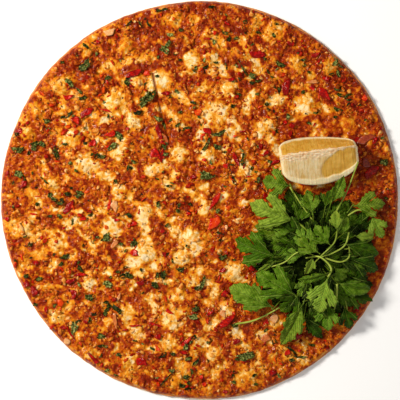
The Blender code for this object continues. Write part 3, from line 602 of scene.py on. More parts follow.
def crust_look():
    look = Look("baked_dough", 0.62, 0.3)
    toast = look.calc("ADD", look.noise(11 * MM, 4), look.calc("MULTIPLY", look.noise(2.2 * MM, 3), 0.35))
    colour = look.ramp(toast, ((0.40, (243, 214, 158)), (0.62, (232, 187, 118)), (0.74, (205, 142, 72)),
                               (0.86, (142, 82, 38)), (0.95, (78, 42, 22))))
    flour = look.span(look.noise(1.1 * MM, 2), 0.52, 0.70)
    colour = look.mix(look.calc("MULTIPLY", flour, 0.35), colour, (248, 232, 200))
    height = look.node("SeparateXYZ", {"Vector": look.place}).outputs["Z"]
    oiled = look.span(look.calc("ADD", height, look.calc("MULTIPLY", look.noise(5 * MM, 3), 3 * MM)),
                      2.6 * MM, 3.9 * MM, 0.0, 0.85)
    oily_crust = look.ramp(toast, ((0.45, (222, 128, 44)), (0.8, (158, 70, 16))))
    look.set("Base Color", look.mix(oiled, colour, oily_crust))
    grain = look.calc("ADD", look.noise(1.3 * MM, 4), look.noise(6 * MM, 2))
    look.set("Normal", look.bump(grain, 0.5 * MM, 0.7))
    return look


def make_bread(frame):
    """The thin dough: a bubbly browned rim and a flat underside with toasted spots."""
    around = RIM_POINTS
    radii = rim_radii(frame["nodes"]["dough"], around)
    low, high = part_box("dough")
    profile = [(RADIUS * 0.98 * (1 - i / UNDERSIDE_RINGS), 0.0) for i in range(UNDERSIDE_RINGS)]
    for inset, lifted, thick in BREAD_EDGE:
        profile.append((inset * MM, lifted * RIM_LIFT + thick * DOUGH_THICKNESS))
    points, faces = [], []
    for inset, height in profile:
        for i in range(around):
            angle = 2 * math.pi * i / around
            reach = radii[i] - inset
            x, y = reach * math.cos(angle), reach * math.sin(angle)
            edge = max(0.0, 1 - abs(inset) / (4 * MM))
            swell = 0.30 * MM * edge * noise.noise((x / (7 * MM), y / (7 * MM), height / (7 * MM)))
            swell += 0.14 * MM * edge * noise.noise((x / (2 * MM), y / (2 * MM), height / (2 * MM)))
            stretch = 1 + swell / reach if reach > 0 else 1
            rise = swell if low.z + 0.3 * MM < height < high.z else 0.0
            points.append((x * stretch, y * stretch, height + rise))
    for ring in range(len(profile) - 1):
        for i in range(around):
            j = (i + 1) % around
            a, b = ring * around, (ring + 1) * around
            faces.append((a + i, b + i, b + j, a + j)[::-1])
    faces.append(tuple(range(around))[::-1])
    faces.append(tuple(range(len(points) - around, len(points))))
    batch = Batch()
    batch.add(points, faces)
    bread = batch.piece("bread", crust_look(), "baked_dough")
    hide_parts("dough")


# Spread of minced meat


def lemon_frame():
    """The wedge's core point, its long direction and the level direction that its wide face drops towards."""
    along = Vector((math.cos(LEMON_TURN), math.sin(LEMON_TURN), 0))
    aside = Vector((math.sin(LEMON_TURN), -math.cos(LEMON_TURN), 0))
    rest = DOUGH_THICKNESS + 2 * GAP + 0.7 * TOPPING_THICKNESS
    return plan(*LEMON_CORE, rest + LEMON_RADIUS), along, aside


def lemon_radius(offset):
    return LEMON_RADIUS * math.sqrt(max(0.0, 1 - (offset / LEMON_HALF_LENGTH) ** 2))


def under_lemon(x, y):
    """Height of the peel's underside at each place, and a large number away from the wedge."""
    core, along, aside = lemon_frame()
    offset = (x - core.x) * along.x + (y - core.y) * along.y
    across = (x - core.x) * aside.x + (y - core.y) * aside.y
    radius = LEMON_RADIUS * np.sqrt(np.clip(1 - (offset / LEMON_HALF_LENGTH) ** 2, 0, 1))
    inside = (np.abs(offset) < LEMON_TRIM + 3 * MM) & (np.abs(across) < radius)
    return np.where(inside, core.z - np.sqrt(np.clip(radius**2 - across**2, 0, None)), 1.0)


def under_parsley(x, y):
    """1 under the middle of the bunch, fading to 0 around it."""
    centre = plan(*GARNISH_CENTRE)
    reach = np.hypot((x - centre.x) / GARNISH_HALF_WIDTH, (y - centre.y) / GARNISH_HALF_DEPTH)
    return np.clip((1 + GARNISH_FADE - reach) / GARNISH_FADE, 0, 1)


def from_line(x, y, a, b):
    """Distance of each place from the line between two points."""
    along = np.clip(((x - a.x) * (b.x - a.x) + (y - a.y) * (b.y - a.y)) / (b - a).length_squared, 0, 1)
    return np.hypot(x - a.x - along * (b.x - a.x), y - a.y - along * (b.y - a.y))


def crease_share(x, y, width=CREASE_WIDTH):
    """1 on the knife mark, fading to 0 at this width beside it."""
    nearest = np.full(len(x), 1.0)
    marks = [plan(*p) for p in CREASE]
    for a, b in zip(marks, marks[1:]):
        nearest = np.minimum(nearest, from_line(x, y, a, b))
    return 1 - ease(nearest, 0.25 * width, width)


def pale_field(x, y):
    """How near each place is to pale dough, from 0 in the midst of the meat to about 1."""
    bend_x = x + 2.6 * MM * wander(x, y, 5 * MM, 11.3)
    bend_y = y + 2.6 * MM * wander(x, y, 5 * MM, 23.7)
    patch = np.zeros(len(x))
    for pixel_x, pixel_y, radius in BLISTERS:
        centre = plan(pixel_x, pixel_y)
        bent = np.hypot(bend_x - centre.x, bend_y - centre.y) / (radius * PIXEL)
        patch = np.maximum(patch, 1.1 * (1 - ease(bent, 0.3, 1.6)))
    for start_x, start_y, end_x, end_y, half_width in PALE_STREAKS:
        bent = from_line(bend_x, bend_y, plan(start_x, start_y), plan(end_x, end_y)) / (half_width * PIXEL)
        patch = np.maximum(patch, 1.0 - ease(bent, 0.3, 1.7))
    small = wander(bend_x, bend_y * 1.3, 7 * MM, 3.1) + 0.35 * wander(x, y, 40 * MM, 17.9)
    return np.maximum(patch, 0.8 * ease(small, -0.05, 0.55))


def pale_share(x, y):
    """Share of pale dough at each place, with frayed and streaky edges."""
    along, across = (x - y) / math.sqrt(2), (x + y) / math.sqrt(2)
    fray = 0.5 * wander(x, y, 3.8 * MM, 31.7) + 0.35 * wander(x, y, 1.9 * MM, 43.9)
    fray += 0.5 * wander(0.4 * along, across, 2.7 * MM, 57.1)
    edge = 1 - 0.5 * ease(x, 85 * MM, 112 * MM)
    rim = 1 - 0.35 * ease(np.hypot(x, y), 95 * MM, 130 * MM)
    return ease(pale_field(x, y) + fray, 0.22, 1.04) * edge * rim


def browning_and_shade(x, y):
    """How dark the meat is: baked darker away from pale dough, with painted shade near the far rim and right
    edge.
    """
    inland = 1 - ease(pale_field(x, y), 0.05, 0.65)
    return 0.7 * inland - 0.40 + 0.6 * ease(y, 62 * MM, 112 * MM) + 0.6 * ease(x, 84 * MM, 118 * MM)


class Clumps:
    """Rounded clumps pressed together on a fine square grid: the rise and tone of the topmost one."""

    def __init__(self, draw):
        self.side = int(2 * RADIUS / CLUMP_CELL) + 2
        self.rise, self.tone = np.zeros((self.side, self.side)), np.full((self.side, self.side), 0.5)
        x, y = lattice(CLUMP_SPACING, 0.7, draw)
        for a, b, pale in zip(x, y, pale_share(x, y)):
            width = CLUMP_WIDTHS[0] + (CLUMP_WIDTHS[1] - CLUMP_WIDTHS[0]) * draw.random() ** 2
            rise = draw.uniform(*CLUMP_RISES) * (1 - 0.45 * pale)
            self.press(a, b, width * (1 + 0.5 * pale), rise, draw)
        around = self.rise
        for axis in (0, 1):
            around = sum(np.roll(around, step, axis) for step in range(-6, 7)) / 13
        self.dip = around - self.rise

    def press(self, x, y, width, rise, draw):
        """Presses one uneven oval clump onto the grid."""
        reach = int(width * 0.8 / CLUMP_CELL) + 1
        column, row = int((x + RADIUS) / CLUMP_CELL), int((y + RADIUS) / CLUMP_CELL)
        left, right = max(column - reach, 0), min(column + reach + 1, self.side)
        low, high = max(row - reach, 0), min(row + reach + 1, self.side)
        across = np.arange(left, right) * CLUMP_CELL - RADIUS - x
        down = (np.arange(low, high) * CLUMP_CELL - RADIUS - y)[:, None]
        turn, slim = draw.uniform(0, math.pi), draw.uniform(1.0, 1.9)
        u = across * math.cos(turn) + down * math.sin(turn)
        v = (down * math.cos(turn) - across * math.sin(turn)) * slim
        angle = np.arctan2(v, u)
        phases = draw.uniform(0, 6), draw.uniform(0, 6)
        lobes = 1 + 0.22 * np.sin(3 * angle + phases[0]) + 0.14 * np.sin(5 * angle + phases[1])
        share = np.clip(np.hypot(u, v) / (width / 2 * lobes), 0, 1)
        shape = draw.uniform(-0.2, 0.3) * MM + rise * np.sqrt(1 - share**2)
        part = self.rise[low:high, left:right]
        above = (shape > part) & (share < 1)
        part[above] = shape[above]
        self.tone[low:high, left:right][above] = np.clip(draw.gauss(0.5, 0.22), 0, 1)

    def at(self, grid, x, y):
        """The grid's values at the places, blended between its cells."""
        u = np.clip((x + RADIUS) / CLUMP_CELL, 0, self.side - 2)
        v = np.clip((y + RADIUS) / CLUMP_CELL, 0, self.side - 2)
        column, row = u.astype(int), v.astype(int)
        u, v = u - column, v - row
        lower = grid[row, column] * (1 - u) + grid[row, column + 1] * u
        upper = grid[row + 1, column] * (1 - u) + grid[row + 1, column + 1] * u
        return lower * (1 - v) + upper * v


def spread_relief(x, y, pale, clumps):
    """Height of the spread, share of painted shade in crevices and the knife's crease, and tone at each
    place.
    """
    dome = np.zeros(len(x))
    for pixel_x, pixel_y, radius in BLISTERS:
        centre = plan(pixel_x, pixel_y)
        reach = np.hypot(x - centre.x, y - centre.y) / (radius * PIXEL)
        dome += np.where(reach < BLISTER_REACH, (np.cos(np.pi * reach / BLISTER_REACH) + 1) / 2, 0)
    height = DOUGH_THICKNESS + GAP + TOPPING_THICKNESS
    height += CLUMP_HEIGHT * (wander(x, y, CLUMP_SIZE, 0.0) + CLUMP_BIAS)
    height += BLISTER_HEIGHT * np.clip(dome, 0, 1.2)
    height += clumps.at(clumps.rise, x, y) - 0.6 * MM
    crumble = wander(x, y, 1.9 * MM, 9.1)
    height += 0.5 * MM * crumble * (1 - 0.7 * pale)
    crease = crease_share(x, y)
    height -= CREASE_DEPTH * crease
    bed = under_parsley(x, y)
    height = height * (1 - bed) + np.minimum(height, GARNISH_BED) * bed
    dip = clumps.at(clumps.dip, x, y) - 0.25 * MM * crumble
    # Painted shade in the crevices between clumps, less on pale dough, and along the knife's crease
    crevice = np.maximum(ease(dip, 0.10 * MM, 0.60 * MM) * (1 - 0.75 * pale), 1.4 * crease)
    # The tone is darkened by baking away from pale dough and by painted shade near the far rim and right edge
    tone = clumps.at(clumps.tone, x, y) - 0.55 * browning_and_shade(x, y)
    return np.minimum(height, under_lemon(x, y) - 2 * GAP), crevice, tone


def spread_outline(angle, radius):
    """How far the spread reaches on the bread at each angle."""
    edge = wander(np.cos(angle), np.sin(angle), 1 / 9, 0.0)
    return radius - SPREAD_INSET - SPREAD_EDGE_WANDER * edge


def disc_points(cells):
    """An even grid of points over the unit disc, row by row: a square grid bent into a circle."""
    line = np.linspace(-1, 1, cells + 1)
    a, b = np.meshgrid(line, line)
    a, b = a.ravel(), b.ravel()
    wide = np.abs(a) > np.abs(b)
    reach = np.where(wide, a, b)
    other = np.where(wide, b, a)
    turn = math.pi / 4 * other / np.where(reach == 0, 1, reach)
    x = np.where(wide, reach * np.cos(turn), reach * np.sin(turn))
    y = np.where(wide, reach * np.sin(turn), reach * np.cos(turn))
    return x, y


def spread_look():
    look = Look("meat_spread", 0.42, OILY, OIL_SHINE)
    pale = look.value("pale")
    away, cell_tone = look.cells(2.1 * MM, look.warped(1.8 * MM, 0.7 * MM))
    clump_tone = look.span(look.value("tone"), -1, 1, -0.30, 0.10)
    tone = look.calc("ADD", look.calc("MULTIPLY", pale, 0.48), clump_tone)
    tone = look.calc("ADD", tone, look.span(cell_tone, 0.2, 0.8, -0.05, 0.07))
    tone = look.calc("ADD", tone, look.span(look.noise(3.6 * MM, 3, 0.55, warp=0.8), 0.36, 0.64, 0.06, 0.38))
    tone = look.calc("ADD", tone, look.span(look.noise(9 * MM, 3, warp=0.5), 0.38, 0.62, -0.12, 0.08))
    colour = look.ramp(tone, ((0.00, (114, 18, 1)), (0.14, (156, 48, 3)), (0.28, (192, 92, 5)),
                              (0.42, (212, 126, 12)), (0.56, (222, 150, 36)), (0.68, (228, 178, 94)),
                              (0.84, (238, 210, 162))))
    golden = look.span(look.noise(6 * MM, 3, warp=0.5), 0.42, 0.58, 0.0, 0.6)
    colour = look.mix(golden, colour, (255, 230, 150), "MULTIPLY")
    # Painted shade: darker towards the borders of the cells, as between crumbs, less so on pale dough, and in
    # the crevices
    edge = look.calc("MULTIPLY", look.span(away, 0.42, 0.75, 0.0, 0.25), look.span(pale, 0.2, 1.0, 1.0, 0.15))
    dark = look.calc("MAXIMUM", edge, look.calc("MULTIPLY", look.value("crevice"), 0.65))
    look.set("Base Color", look.mix(dark, colour, CREVICE_SHADE))
    look.set("Roughness", look.span(look.noise(4 * MM, 2), 0.35, 0.65, 0.20, 0.50))
    look.glaze()
    relief = look.calc("MULTIPLY", look.calc("SUBTRACT", 1.0, away), look.span(pale, 0.2, 1.0, 0.7, 0.25))
    relief = look.calc("ADD", relief, look.noise(1.6 * MM, 3, 0.6))
    look.set("Normal", look.bump(relief, 0.8 * MM, 0.8))
    return look


def make_spread(frame, clumps):
    """The baked spread: orange-brown meat between pale puffed patches of dough."""
    unit_x, unit_y = disc_points(SPREAD_CELLS)
    angle, reach = np.arctan2(unit_y, unit_x), np.hypot(unit_x, unit_y)
    radii = rim_radii(frame["nodes"]["dough"], RIM_POINTS)
    turns = np.linspace(0, 2 * np.pi, RIM_POINTS + 1)
    around = np.interp(angle % (2 * np.pi), turns, np.append(radii, radii[0]))
    outline = spread_outline(angle, around)
    x, y = reach * outline * np.cos(angle), reach * outline * np.sin(angle)
    pale = pale_share(x, y)
    height, crevice, tone = spread_relief(x, y, pale, clumps)
    bottom = DOUGH_THICKNESS + 0.4 * GAP
    edge = bottom + SPREAD_EDGE_HEIGHT
    rounding = np.sqrt(np.clip((1 - reach) * outline / SPREAD_EDGE_ROUND, 0, 1))
    height = edge + (height - edge) * rounding
    top = np.stack([x, y, height], axis=1)
    side = SPREAD_CELLS + 1
    corner = np.arange(side * side).reshape(side, side)
    quads = corner[:-1, :-1], corner[:-1, 1:], corner[1:, 1:], corner[1:, :-1]
    border = np.concatenate([corner[0, :-1], corner[:-1, -1], corner[-1, :0:-1], corner[:0:-1, 0]])
    under = top[border] * (1, 1, 0) + (0, 0, bottom)
    count, ring = len(top), len(border)
    faces = np.stack(quads, axis=-1).reshape(-1, 4).tolist()
    for i in range(ring):
        j = (i + 1) % ring
        faces.append([border[j], border[i], count + i, count + j])
    faces.append([count + i for i in range(ring)][::-1])
    batch = Batch()
    batch.add(np.concatenate([top, under]), faces, pale=np.concatenate([pale, pale[border]]),
              crevice=np.concatenate([crevice, crevice[border]]), tone=np.concatenate([tone, tone[border]]))
    spread = batch.piece("spread", spread_look(), "meat_spread")
    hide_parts("topping")
    return spread


# Crumbs


def lump_shapes(kinds, detail, uneven, draw):
    """Irregular chipped lumps one unit across: the points of each, and the faces that they share."""
    ball = bmesh.new()
    bmesh.ops.create_icosphere(ball, subdivisions=detail, radius=0.5)
    sphere = np.array([v.co for v in ball.verts])
    faces = [[v.index for v in f.verts] for f in ball.faces]
    ball.free()
    shapes = []
    for _ in range(kinds):
        shape = sphere.copy()
        for _ in range(LUMP_CHIPS):
            outward = np.array(Vector([draw.gauss(0, 1) for _ in range(3)]).normalized())
            beyond = np.clip(shape @ outward - draw.uniform(0.18, 0.40), 0, None)
            shape -= np.outer(beyond, outward)
        shift = Vector([draw.uniform(-50, 50) for _ in range(3)])
        spots = [Vector(p) for p in shape]
        swell = [noise.noise(p * 3.4 + shift) + 0.5 * noise.noise(p * 8 + shift) for p in spots]
        shapes.append(shape * (1 + uneven * np.array(swell))[:, None])
    return shapes, faces


def turned(points, draw, tilt=math.pi):
    """The points after a random turn about the vertical and a random tilt."""
    turn = Euler((draw.uniform(-tilt, tilt), draw.uniform(-tilt, tilt), draw.uniform(-math.pi, math.pi)))
    return points @ np.array(turn.to_matrix()).T


class Ground:
    """Feels the height of the spread from above."""

    def __init__(self, spread):
        self.tree = surface_tree(spread.data)

    def height(self, x, y, least=0.0):
        hit = self.tree.ray_cast(Vector((x, y, ABOVE_ALL)), Vector((0, 0, -1)))[0]
        return least if hit is None else max(least, hit.z)


def meat_look(name, stops, gloss, shadow=CREVICE_SHADE):
    """A crumb's look: its own tone, mottled finely, and painted shade towards its foot in the shadow colour.
    """
    look = Look(name, gloss, 0.16, (1.0, 0.65, 0.30))
    tone = look.own_tone(1.4 * MM, 0.20)
    tone = look.calc("ADD", tone, look.span(look.noise(4.5 * MM, 3), 0.38, 0.62, -0.22, 0.22))
    colour = look.ramp(tone, stops)
    look.set("Base Color", look.mix(look.calc("MULTIPLY", look.value("foot"), 0.5), colour, shadow))
    look.set("Roughness", look.span(look.noise(3 * MM, 2), 0.35, 0.65, gloss - 0.16, gloss + 0.18))
    look.glaze()
    grain = look.calc("ADD", look.noise(0.7 * MM, 4, 0.7), look.noise(1.8 * MM, 2))
    look.set("Normal", look.bump(grain, 0.5 * MM, 0.7))
    return look



def sow(batches, ground, draw, lumps, spacing, sizes, on_meat, on_dough, tone, sink=(0.05, 0.3)):
    """Fills the batches with lumps, as dense on meat and on pale dough as the two shares say.

    The last batch takes those in the red zones, and the first one takes the others."""
    shapes, faces = lumps
    x, y = lattice(spacing, 0.6, draw)
    pale = pale_share(x, y)
    clear = (under_lemon(x, y) > 0.5) & (under_parsley(x, y) < 1) & (crease_share(x, y, 1.7 * MM) < 0.3)
    chance = np.array([draw.random() for _ in range(len(x))])
    keep = clear & (chance < on_meat + (on_dough - on_meat) * pale)
    red_zone = wander(x, y, 13 * MM, 5.0)
    # Crumbs are lighter on pale dough, darker where baked brown and where shade is painted near the far rim
    # and right edge
    shade = 0.30 * pale - 0.09 * browning_and_shade(x, y)
    for a, b, lighter, red in zip(x[keep], y[keep], shade[keep], red_zone[keep]):
        size = sizes[0] + (sizes[1] - sizes[0]) * draw.random() ** 1.6
        sides = size * draw.uniform(0.9, 1.5), size * draw.uniform(0.5, 0.9), size * draw.uniform(0.4, 0.7)
        foot = ground.height(a, b)
        if foot < DOUGH_THICKNESS:
            continue
        middle = foot + sides[2] * draw.uniform(*sink)
        points = turned(draw.choice(shapes) * sides, draw, 0.7) + (a, b, middle)
        # Share of painted shade at the crumb's foot, fading out up its lower part
        depth = np.clip((foot + 0.22 * size - points[:, 2]) / (0.30 * size), 0, 1)
        batch = batches[-1] if red + draw.uniform(-0.6, 0.6) > 0.40 else batches[0]
        batch.add(points, faces, tone=np.clip(draw.gauss(tone + lighter, 0.17), 0, 1), foot=depth)


def make_crumbs(ground, draw):
    """Mince and finer crumbs, some of them red, pale lumps on the bare dough, and grit all over."""
    mince, crumbs, red, lumps, grit = (Batch() for _ in range(5))
    large = lump_shapes(CRUMB_KINDS, 2, 0.42, draw)
    small = lump_shapes(CRUMB_KINDS, 1, 0.6, draw)
    sow([mince, red], ground, draw, large, MINCE_SPACING, MINCE_SIZES, 0.44, 0.05, 0.48, (-0.1, 0.2))
    sow([crumbs, red], ground, draw, small, CRUMB_SPACING, CRUMB_SIZES, 0.22, 0.10, 0.50)
    sow([lumps], ground, draw, large, LUMP_SPACING, LUMP_SIZES, 0.02, 0.22, 0.30, (-0.4, -0.15))
    sow([grit], ground, draw, small, GRIT_SPACING, GRIT_SIZES, 0.16, 0.06, 0.36)
    # Each crumb is painted with shade at its foot: dark red on the meat, orange on the pale lumps
    mince.piece("mince", meat_look("mince", MINCE_TONES, 0.45), "meat_spread")
    crumbs.piece("crumbs", meat_look("crumbs", MINCE_TONES, 0.45), "meat_spread")
    red.piece("red_mince", meat_look("red_mince", RED_TONES, 0.36), "meat_spread")
    lumps.piece("pale_lumps", meat_look("pale_lumps", LUMP_TONES, 0.42, (204, 104, 28)), "meat_spread")
    grit.piece("grit", meat_look("grit", MINCE_TONES, 0.5), "meat_spread")


# Chopped pieces


def softened(outline, passes, share=0.25):
    """The closed outline with its corners cut off at this share of each side, a few times over."""
    for _ in range(passes):
        cut = []
        for a, b in zip(outline, outline[1:] + outline[:1]):
            cut += [a * (1 - share) + b * share, a * share + b * (1 - share)]
        outline = cut
    return outline


def uneven_outline(draw, corners, uneven):
    """A closed outline one unit across with uneven corners."""
    outline = []
    for i in range(corners):
        angle = 2 * math.pi * (i + 0.5 * draw.uniform(-uneven, uneven)) / corners
        reach = 0.5 * (1 + draw.uniform(-uneven, uneven))
        outline.append(np.array((reach * math.cos(angle), reach * math.sin(angle))))
    return outline


def slab(outline, rings, bend):
    """A closed flat shape: rings of the outline as (share, height), each moved by bend(x, y)."""
    count = len(outline)
    points = []
    for share, height in rings:
        for x, y in outline:
            points.append((x * share, y * share, height + bend(x * share, y * share)))
    faces = [list(range(count))[::-1], list(range(len(points) - count, len(points)))]
    for ring in range(len(rings) - 1):
        for i in range(count):
            a, b = ring * count + i, ring * count + (i + 1) % count
            faces.append([a, b, b + count, a + count])
    return np.array(points), faces


def flat_turn(points, degrees):
    """The points after a turn about the vertical."""
    turn = math.radians(degrees)
    x = points[:, 0] * math.cos(turn) - points[:, 1] * math.sin(turn)
    y = points[:, 0] * math.sin(turn) + points[:, 1] * math.cos(turn)
    return np.stack([x, y, points[:, 2]], axis=1)


def flat_place(pixel_x, pixel_y, length):
    """Where a chopped piece of this length lies on the spread, clear of its edge and still at no height."""
    spot = plan(pixel_x, pixel_y, CHOPPED_HEIGHT)
    limit = RADIUS - SPREAD_INSET - CHOPPED_MARGIN - 0.5 * length
    share = min(1.0, limit / math.hypot(spot.x, spot.y))
    return np.array((spot.x * share, spot.y * share, 0.0))


def settled(points, ground, lift):
    """The points lowered onto the ground below their middle, following its slope a little."""
    x, y = points[:, 0].mean(), points[:, 1].mean()
    middle = ground.height(x, y)
    follow = np.array([0.6 * (ground.height(a, b, middle) - middle) for a, b, _ in points])
    return points + np.stack([np.zeros(len(points)), np.zeros(len(points)), middle + lift + follow], axis=1)


def pepper_look():
    look = Look("red_pepper", 0.2, 0.3, (1.0, 0.6, 0.5))
    tone = look.own_tone(2.2 * MM, 0.22)
    look.set("Base Color", look.ramp(tone, ((0.0, (216, 110, 10)), (0.35, (208, 62, 5)), (0.7, (186, 14, 3)),
                                            (1.0, (122, 1, 2)))))
    look.set("Normal", look.bump(look.noise(1.5 * MM, 3), 0.5 * MM, 0.8))
    return look


def add_chip(batch, ground, draw, row, lift):
    """One flat chopped piece with uneven sides and a slight bow, settled on the spread."""
    px, py, length, width, turn, tone = row
    sides = np.array((length * PIXEL, width * PIXEL)) * CHIP_GROWTH
    outline = [p * sides for p in softened(uneven_outline(draw, draw.randint(4, 7), 0.5), 2, 0.14)]
    thick = min(CHIP_THICKNESS, 0.35 * sides[1])
    shift = draw.uniform(-50, 50)
    curl, bow = draw.uniform(0.5, 1.6) / 10, draw.uniform(-0.3, 0.3)

    def bend(x, y):
        return curl * x * x / sides[0] + 0.7 * MM * noise.noise((x / (2.5 * MM), y / (2.5 * MM), shift))

    rings = ((0.55, -thick / 2), (0.92, -0.4 * thick), (1.0, 0.0), (0.93, 0.38 * thick), (0.7, 0.5 * thick),
             (0.3, 0.5 * thick))
    points, faces = slab(outline, rings, bend)
    points[:, 1] += bow * points[:, 0] ** 2 / sides[0]
    points = flat_turn(points, turn) + flat_place(px, py, length * PIXEL)
    batch.add(settled(points, ground, 0.3 * thick + lift), faces, tone=tone)


def make_pepper(ground, draw):
    """Red pepper and tomato, and thin red shreds."""
    batch = Batch()
    for row in PEPPER:
        add_chip(batch, ground, draw, row, PEPPER_LIFT)
    for _ in range(RED_SHREDS):
        x, y = open_spot(draw)
        sides = np.array((draw.uniform(*SHRED_LENGTHS), draw.uniform(*SHRED_WIDTHS)))
        outline = [p * sides for p in softened(uneven_outline(draw, 6, 0.3), 1)]
        points, faces = slab(outline, ((0.6, -0.4 * MM), (1.0, 0.0), (0.7, 0.35 * MM)), lambda x, y: 0.0)
        points[:, 1] += draw.uniform(-0.4, 0.4) / sides[0] * points[:, 0] ** 2
        points = flat_turn(points, draw.uniform(0, 360)) + (x, y, 0)
        batch.add(settled(points, ground, SHRED_LIFT), faces, tone=draw.uniform(0.4, 1.0))
    batch.piece("pepper", pepper_look(), "meat_spread", turn_out=True)


def herb_look():
    look = Look("baked_herbs", 0.40, 0.16, (0.85, 1.0, 0.5))
    tone = look.own_tone(1.3 * MM, 0.42, 4, 0.75, 0.10)
    look.set("Base Color", look.ramp(tone, ((0.0, (12, 11, 2)), (0.35, (40, 43, 7)), (0.65, (90, 94, 26)),
                                            (1.0, (164, 166, 96)))))
    look.set("Normal", look.bump(look.noise(0.9 * MM, 3), 0.4 * MM, 0.9))
    return look


def crumpled_scrap(length, width, draw):
    """A torn scrap of leaf: a ragged, folded sheet with a thickness."""
    columns, rows = 9, 6
    shift = [draw.uniform(-50, 50) for _ in range(3)]
    fold = draw.uniform(0.2, 1.0)
    bow = draw.uniform(-0.3, 0.5)
    sheet = []
    for row in range(rows + 1):
        for column in range(columns + 1):
            u, v = column / columns - 0.5, row / rows - 0.5
            ragged = 1 + 0.7 * noise.noise((5 * u + shift[0], 5 * v, 3.0))
            taper = math.sqrt(max(0.06, 1 - (1.8 * u) ** 2))
            x, y = length * u * ragged, width * v * taper * ragged
            z = 1.6 * MM * noise.noise((x / (2.4 * MM) + shift[1], y / (2.4 * MM) + shift[2], 0.5))
            sheet.append((x, y + bow * x * x / length, z + fold * abs(y)))
    top = np.array(sheet) + (0, 0, 0.2 * MM)
    points = np.concatenate([top, top - (0, 0, 0.4 * MM)])
    side, count = columns + 1, len(sheet)
    faces = []
    for row in range(rows):
        for column in range(columns):
            a = row * side + column
            faces.append([a, a + 1, a + side + 1, a + side])
            faces.append([count + i for i in (a + side, a + side + 1, a + 1, a)])
    loop = list(range(side)) + [side * r + columns for r in range(1, rows + 1)]
    loop += [side * rows + c for c in range(columns - 1, -1, -1)] + [side * r for r in range(rows - 1, 0, -1)]
    for a, b in zip(loop, loop[1:] + loop[:1]):
        faces.append([b, a, count + a, count + b])
    return points, faces


def make_herbs(ground, draw):
    """Crumpled scraps of leaf baked onto the spread."""
    batch = Batch()
    for px, py, length, width, turn in HERBS:
        points, faces = crumpled_scrap(length * PIXEL, HERB_SLIMNESS * width * PIXEL, draw)
        points = flat_turn(points, turn) + flat_place(px, py, length * PIXEL)
        tone = np.clip(draw.gauss(0.20 + 0.035 * width, 0.12), 0, 1)
        batch.add(settled(points, ground, HERB_LIFT), faces, tone=tone)
    for _ in range(FINE_HERBS):
        x, y = open_spot(draw)
        length = draw.uniform(*FINE_HERB_LENGTHS)
        points, faces = crumpled_scrap(length, length * draw.uniform(0.35, 0.7), draw)
        points = flat_turn(points * (1, 1, 0.5), draw.uniform(0, 360)) + (x, y, 0)
        tone = np.clip(draw.gauss(0.28, 0.18), 0, 1)
        batch.add(settled(points, ground, FINE_HERB_LIFT), faces, tone=tone)
    batch.piece("herbs", herb_look(), "meat_spread", turn_out=True)


def onion_look():
    look = Look("onion", 0.24, 0.4)
    tone = look.own_tone(2 * MM, 0.14)
    look.set("Base Color", look.ramp(tone, ((0.0, (118, 24, 8)), (0.3, (160, 64, 20)), (0.65, (198, 112, 46)),
                                            (1.0, (222, 164, 104)))))
    look.set("Normal", look.bump(look.noise(1.6 * MM, 3), 0.4 * MM, 0.6))
    look.set("Subsurface Weight", 0.15)
    look.set("Subsurface Scale", 2 * MM)
    return look


def pepper_speck_look():
    look = Look("black_pepper", 0.6, 0.3)
    look.set("Base Color", look.ramp(look.noise(0.5 * MM, 2), ((0.3, (14, 10, 8)), (0.7, (52, 36, 22)))))
    return look


def open_spot(draw):
    """A random place on the spread, clear of the lemon and the parsley."""
    while True:
        reach = (RADIUS - SCATTER_MARGIN) * math.sqrt(draw.random())
        angle = draw.uniform(0, 2 * math.pi)
        x, y = reach * math.cos(angle), reach * math.sin(angle)
        at = np.array([x]), np.array([y])
        if under_lemon(*at)[0] > 0.5 and under_parsley(*at)[0] < 0.6:
            return x, y


def make_small_bits(ground, draw):
    """Onion and ground black pepper."""
    onion, specks = Batch(), Batch()
    for row in ONION:
        add_chip(onion, ground, draw, row, ONION_LIFT)
    shapes, faces = lump_shapes(SPECK_KINDS, 1, 0.4, draw)
    for _ in range(PEPPER_SPECKS):
        x, y = open_spot(draw)
        size = draw.uniform(*SPECK_SIZES)
        lift = draw.uniform(*SPECK_LIFTS)
        specks.add(turned(draw.choice(shapes) * size, draw) + (x, y, ground.height(x, y) + lift), faces)
    onion.piece("onion", onion_look(), "meat_spread", turn_out=True)
    specks.piece("black_pepper", pepper_speck_look(), "meat_spread")


# Lemon wedge


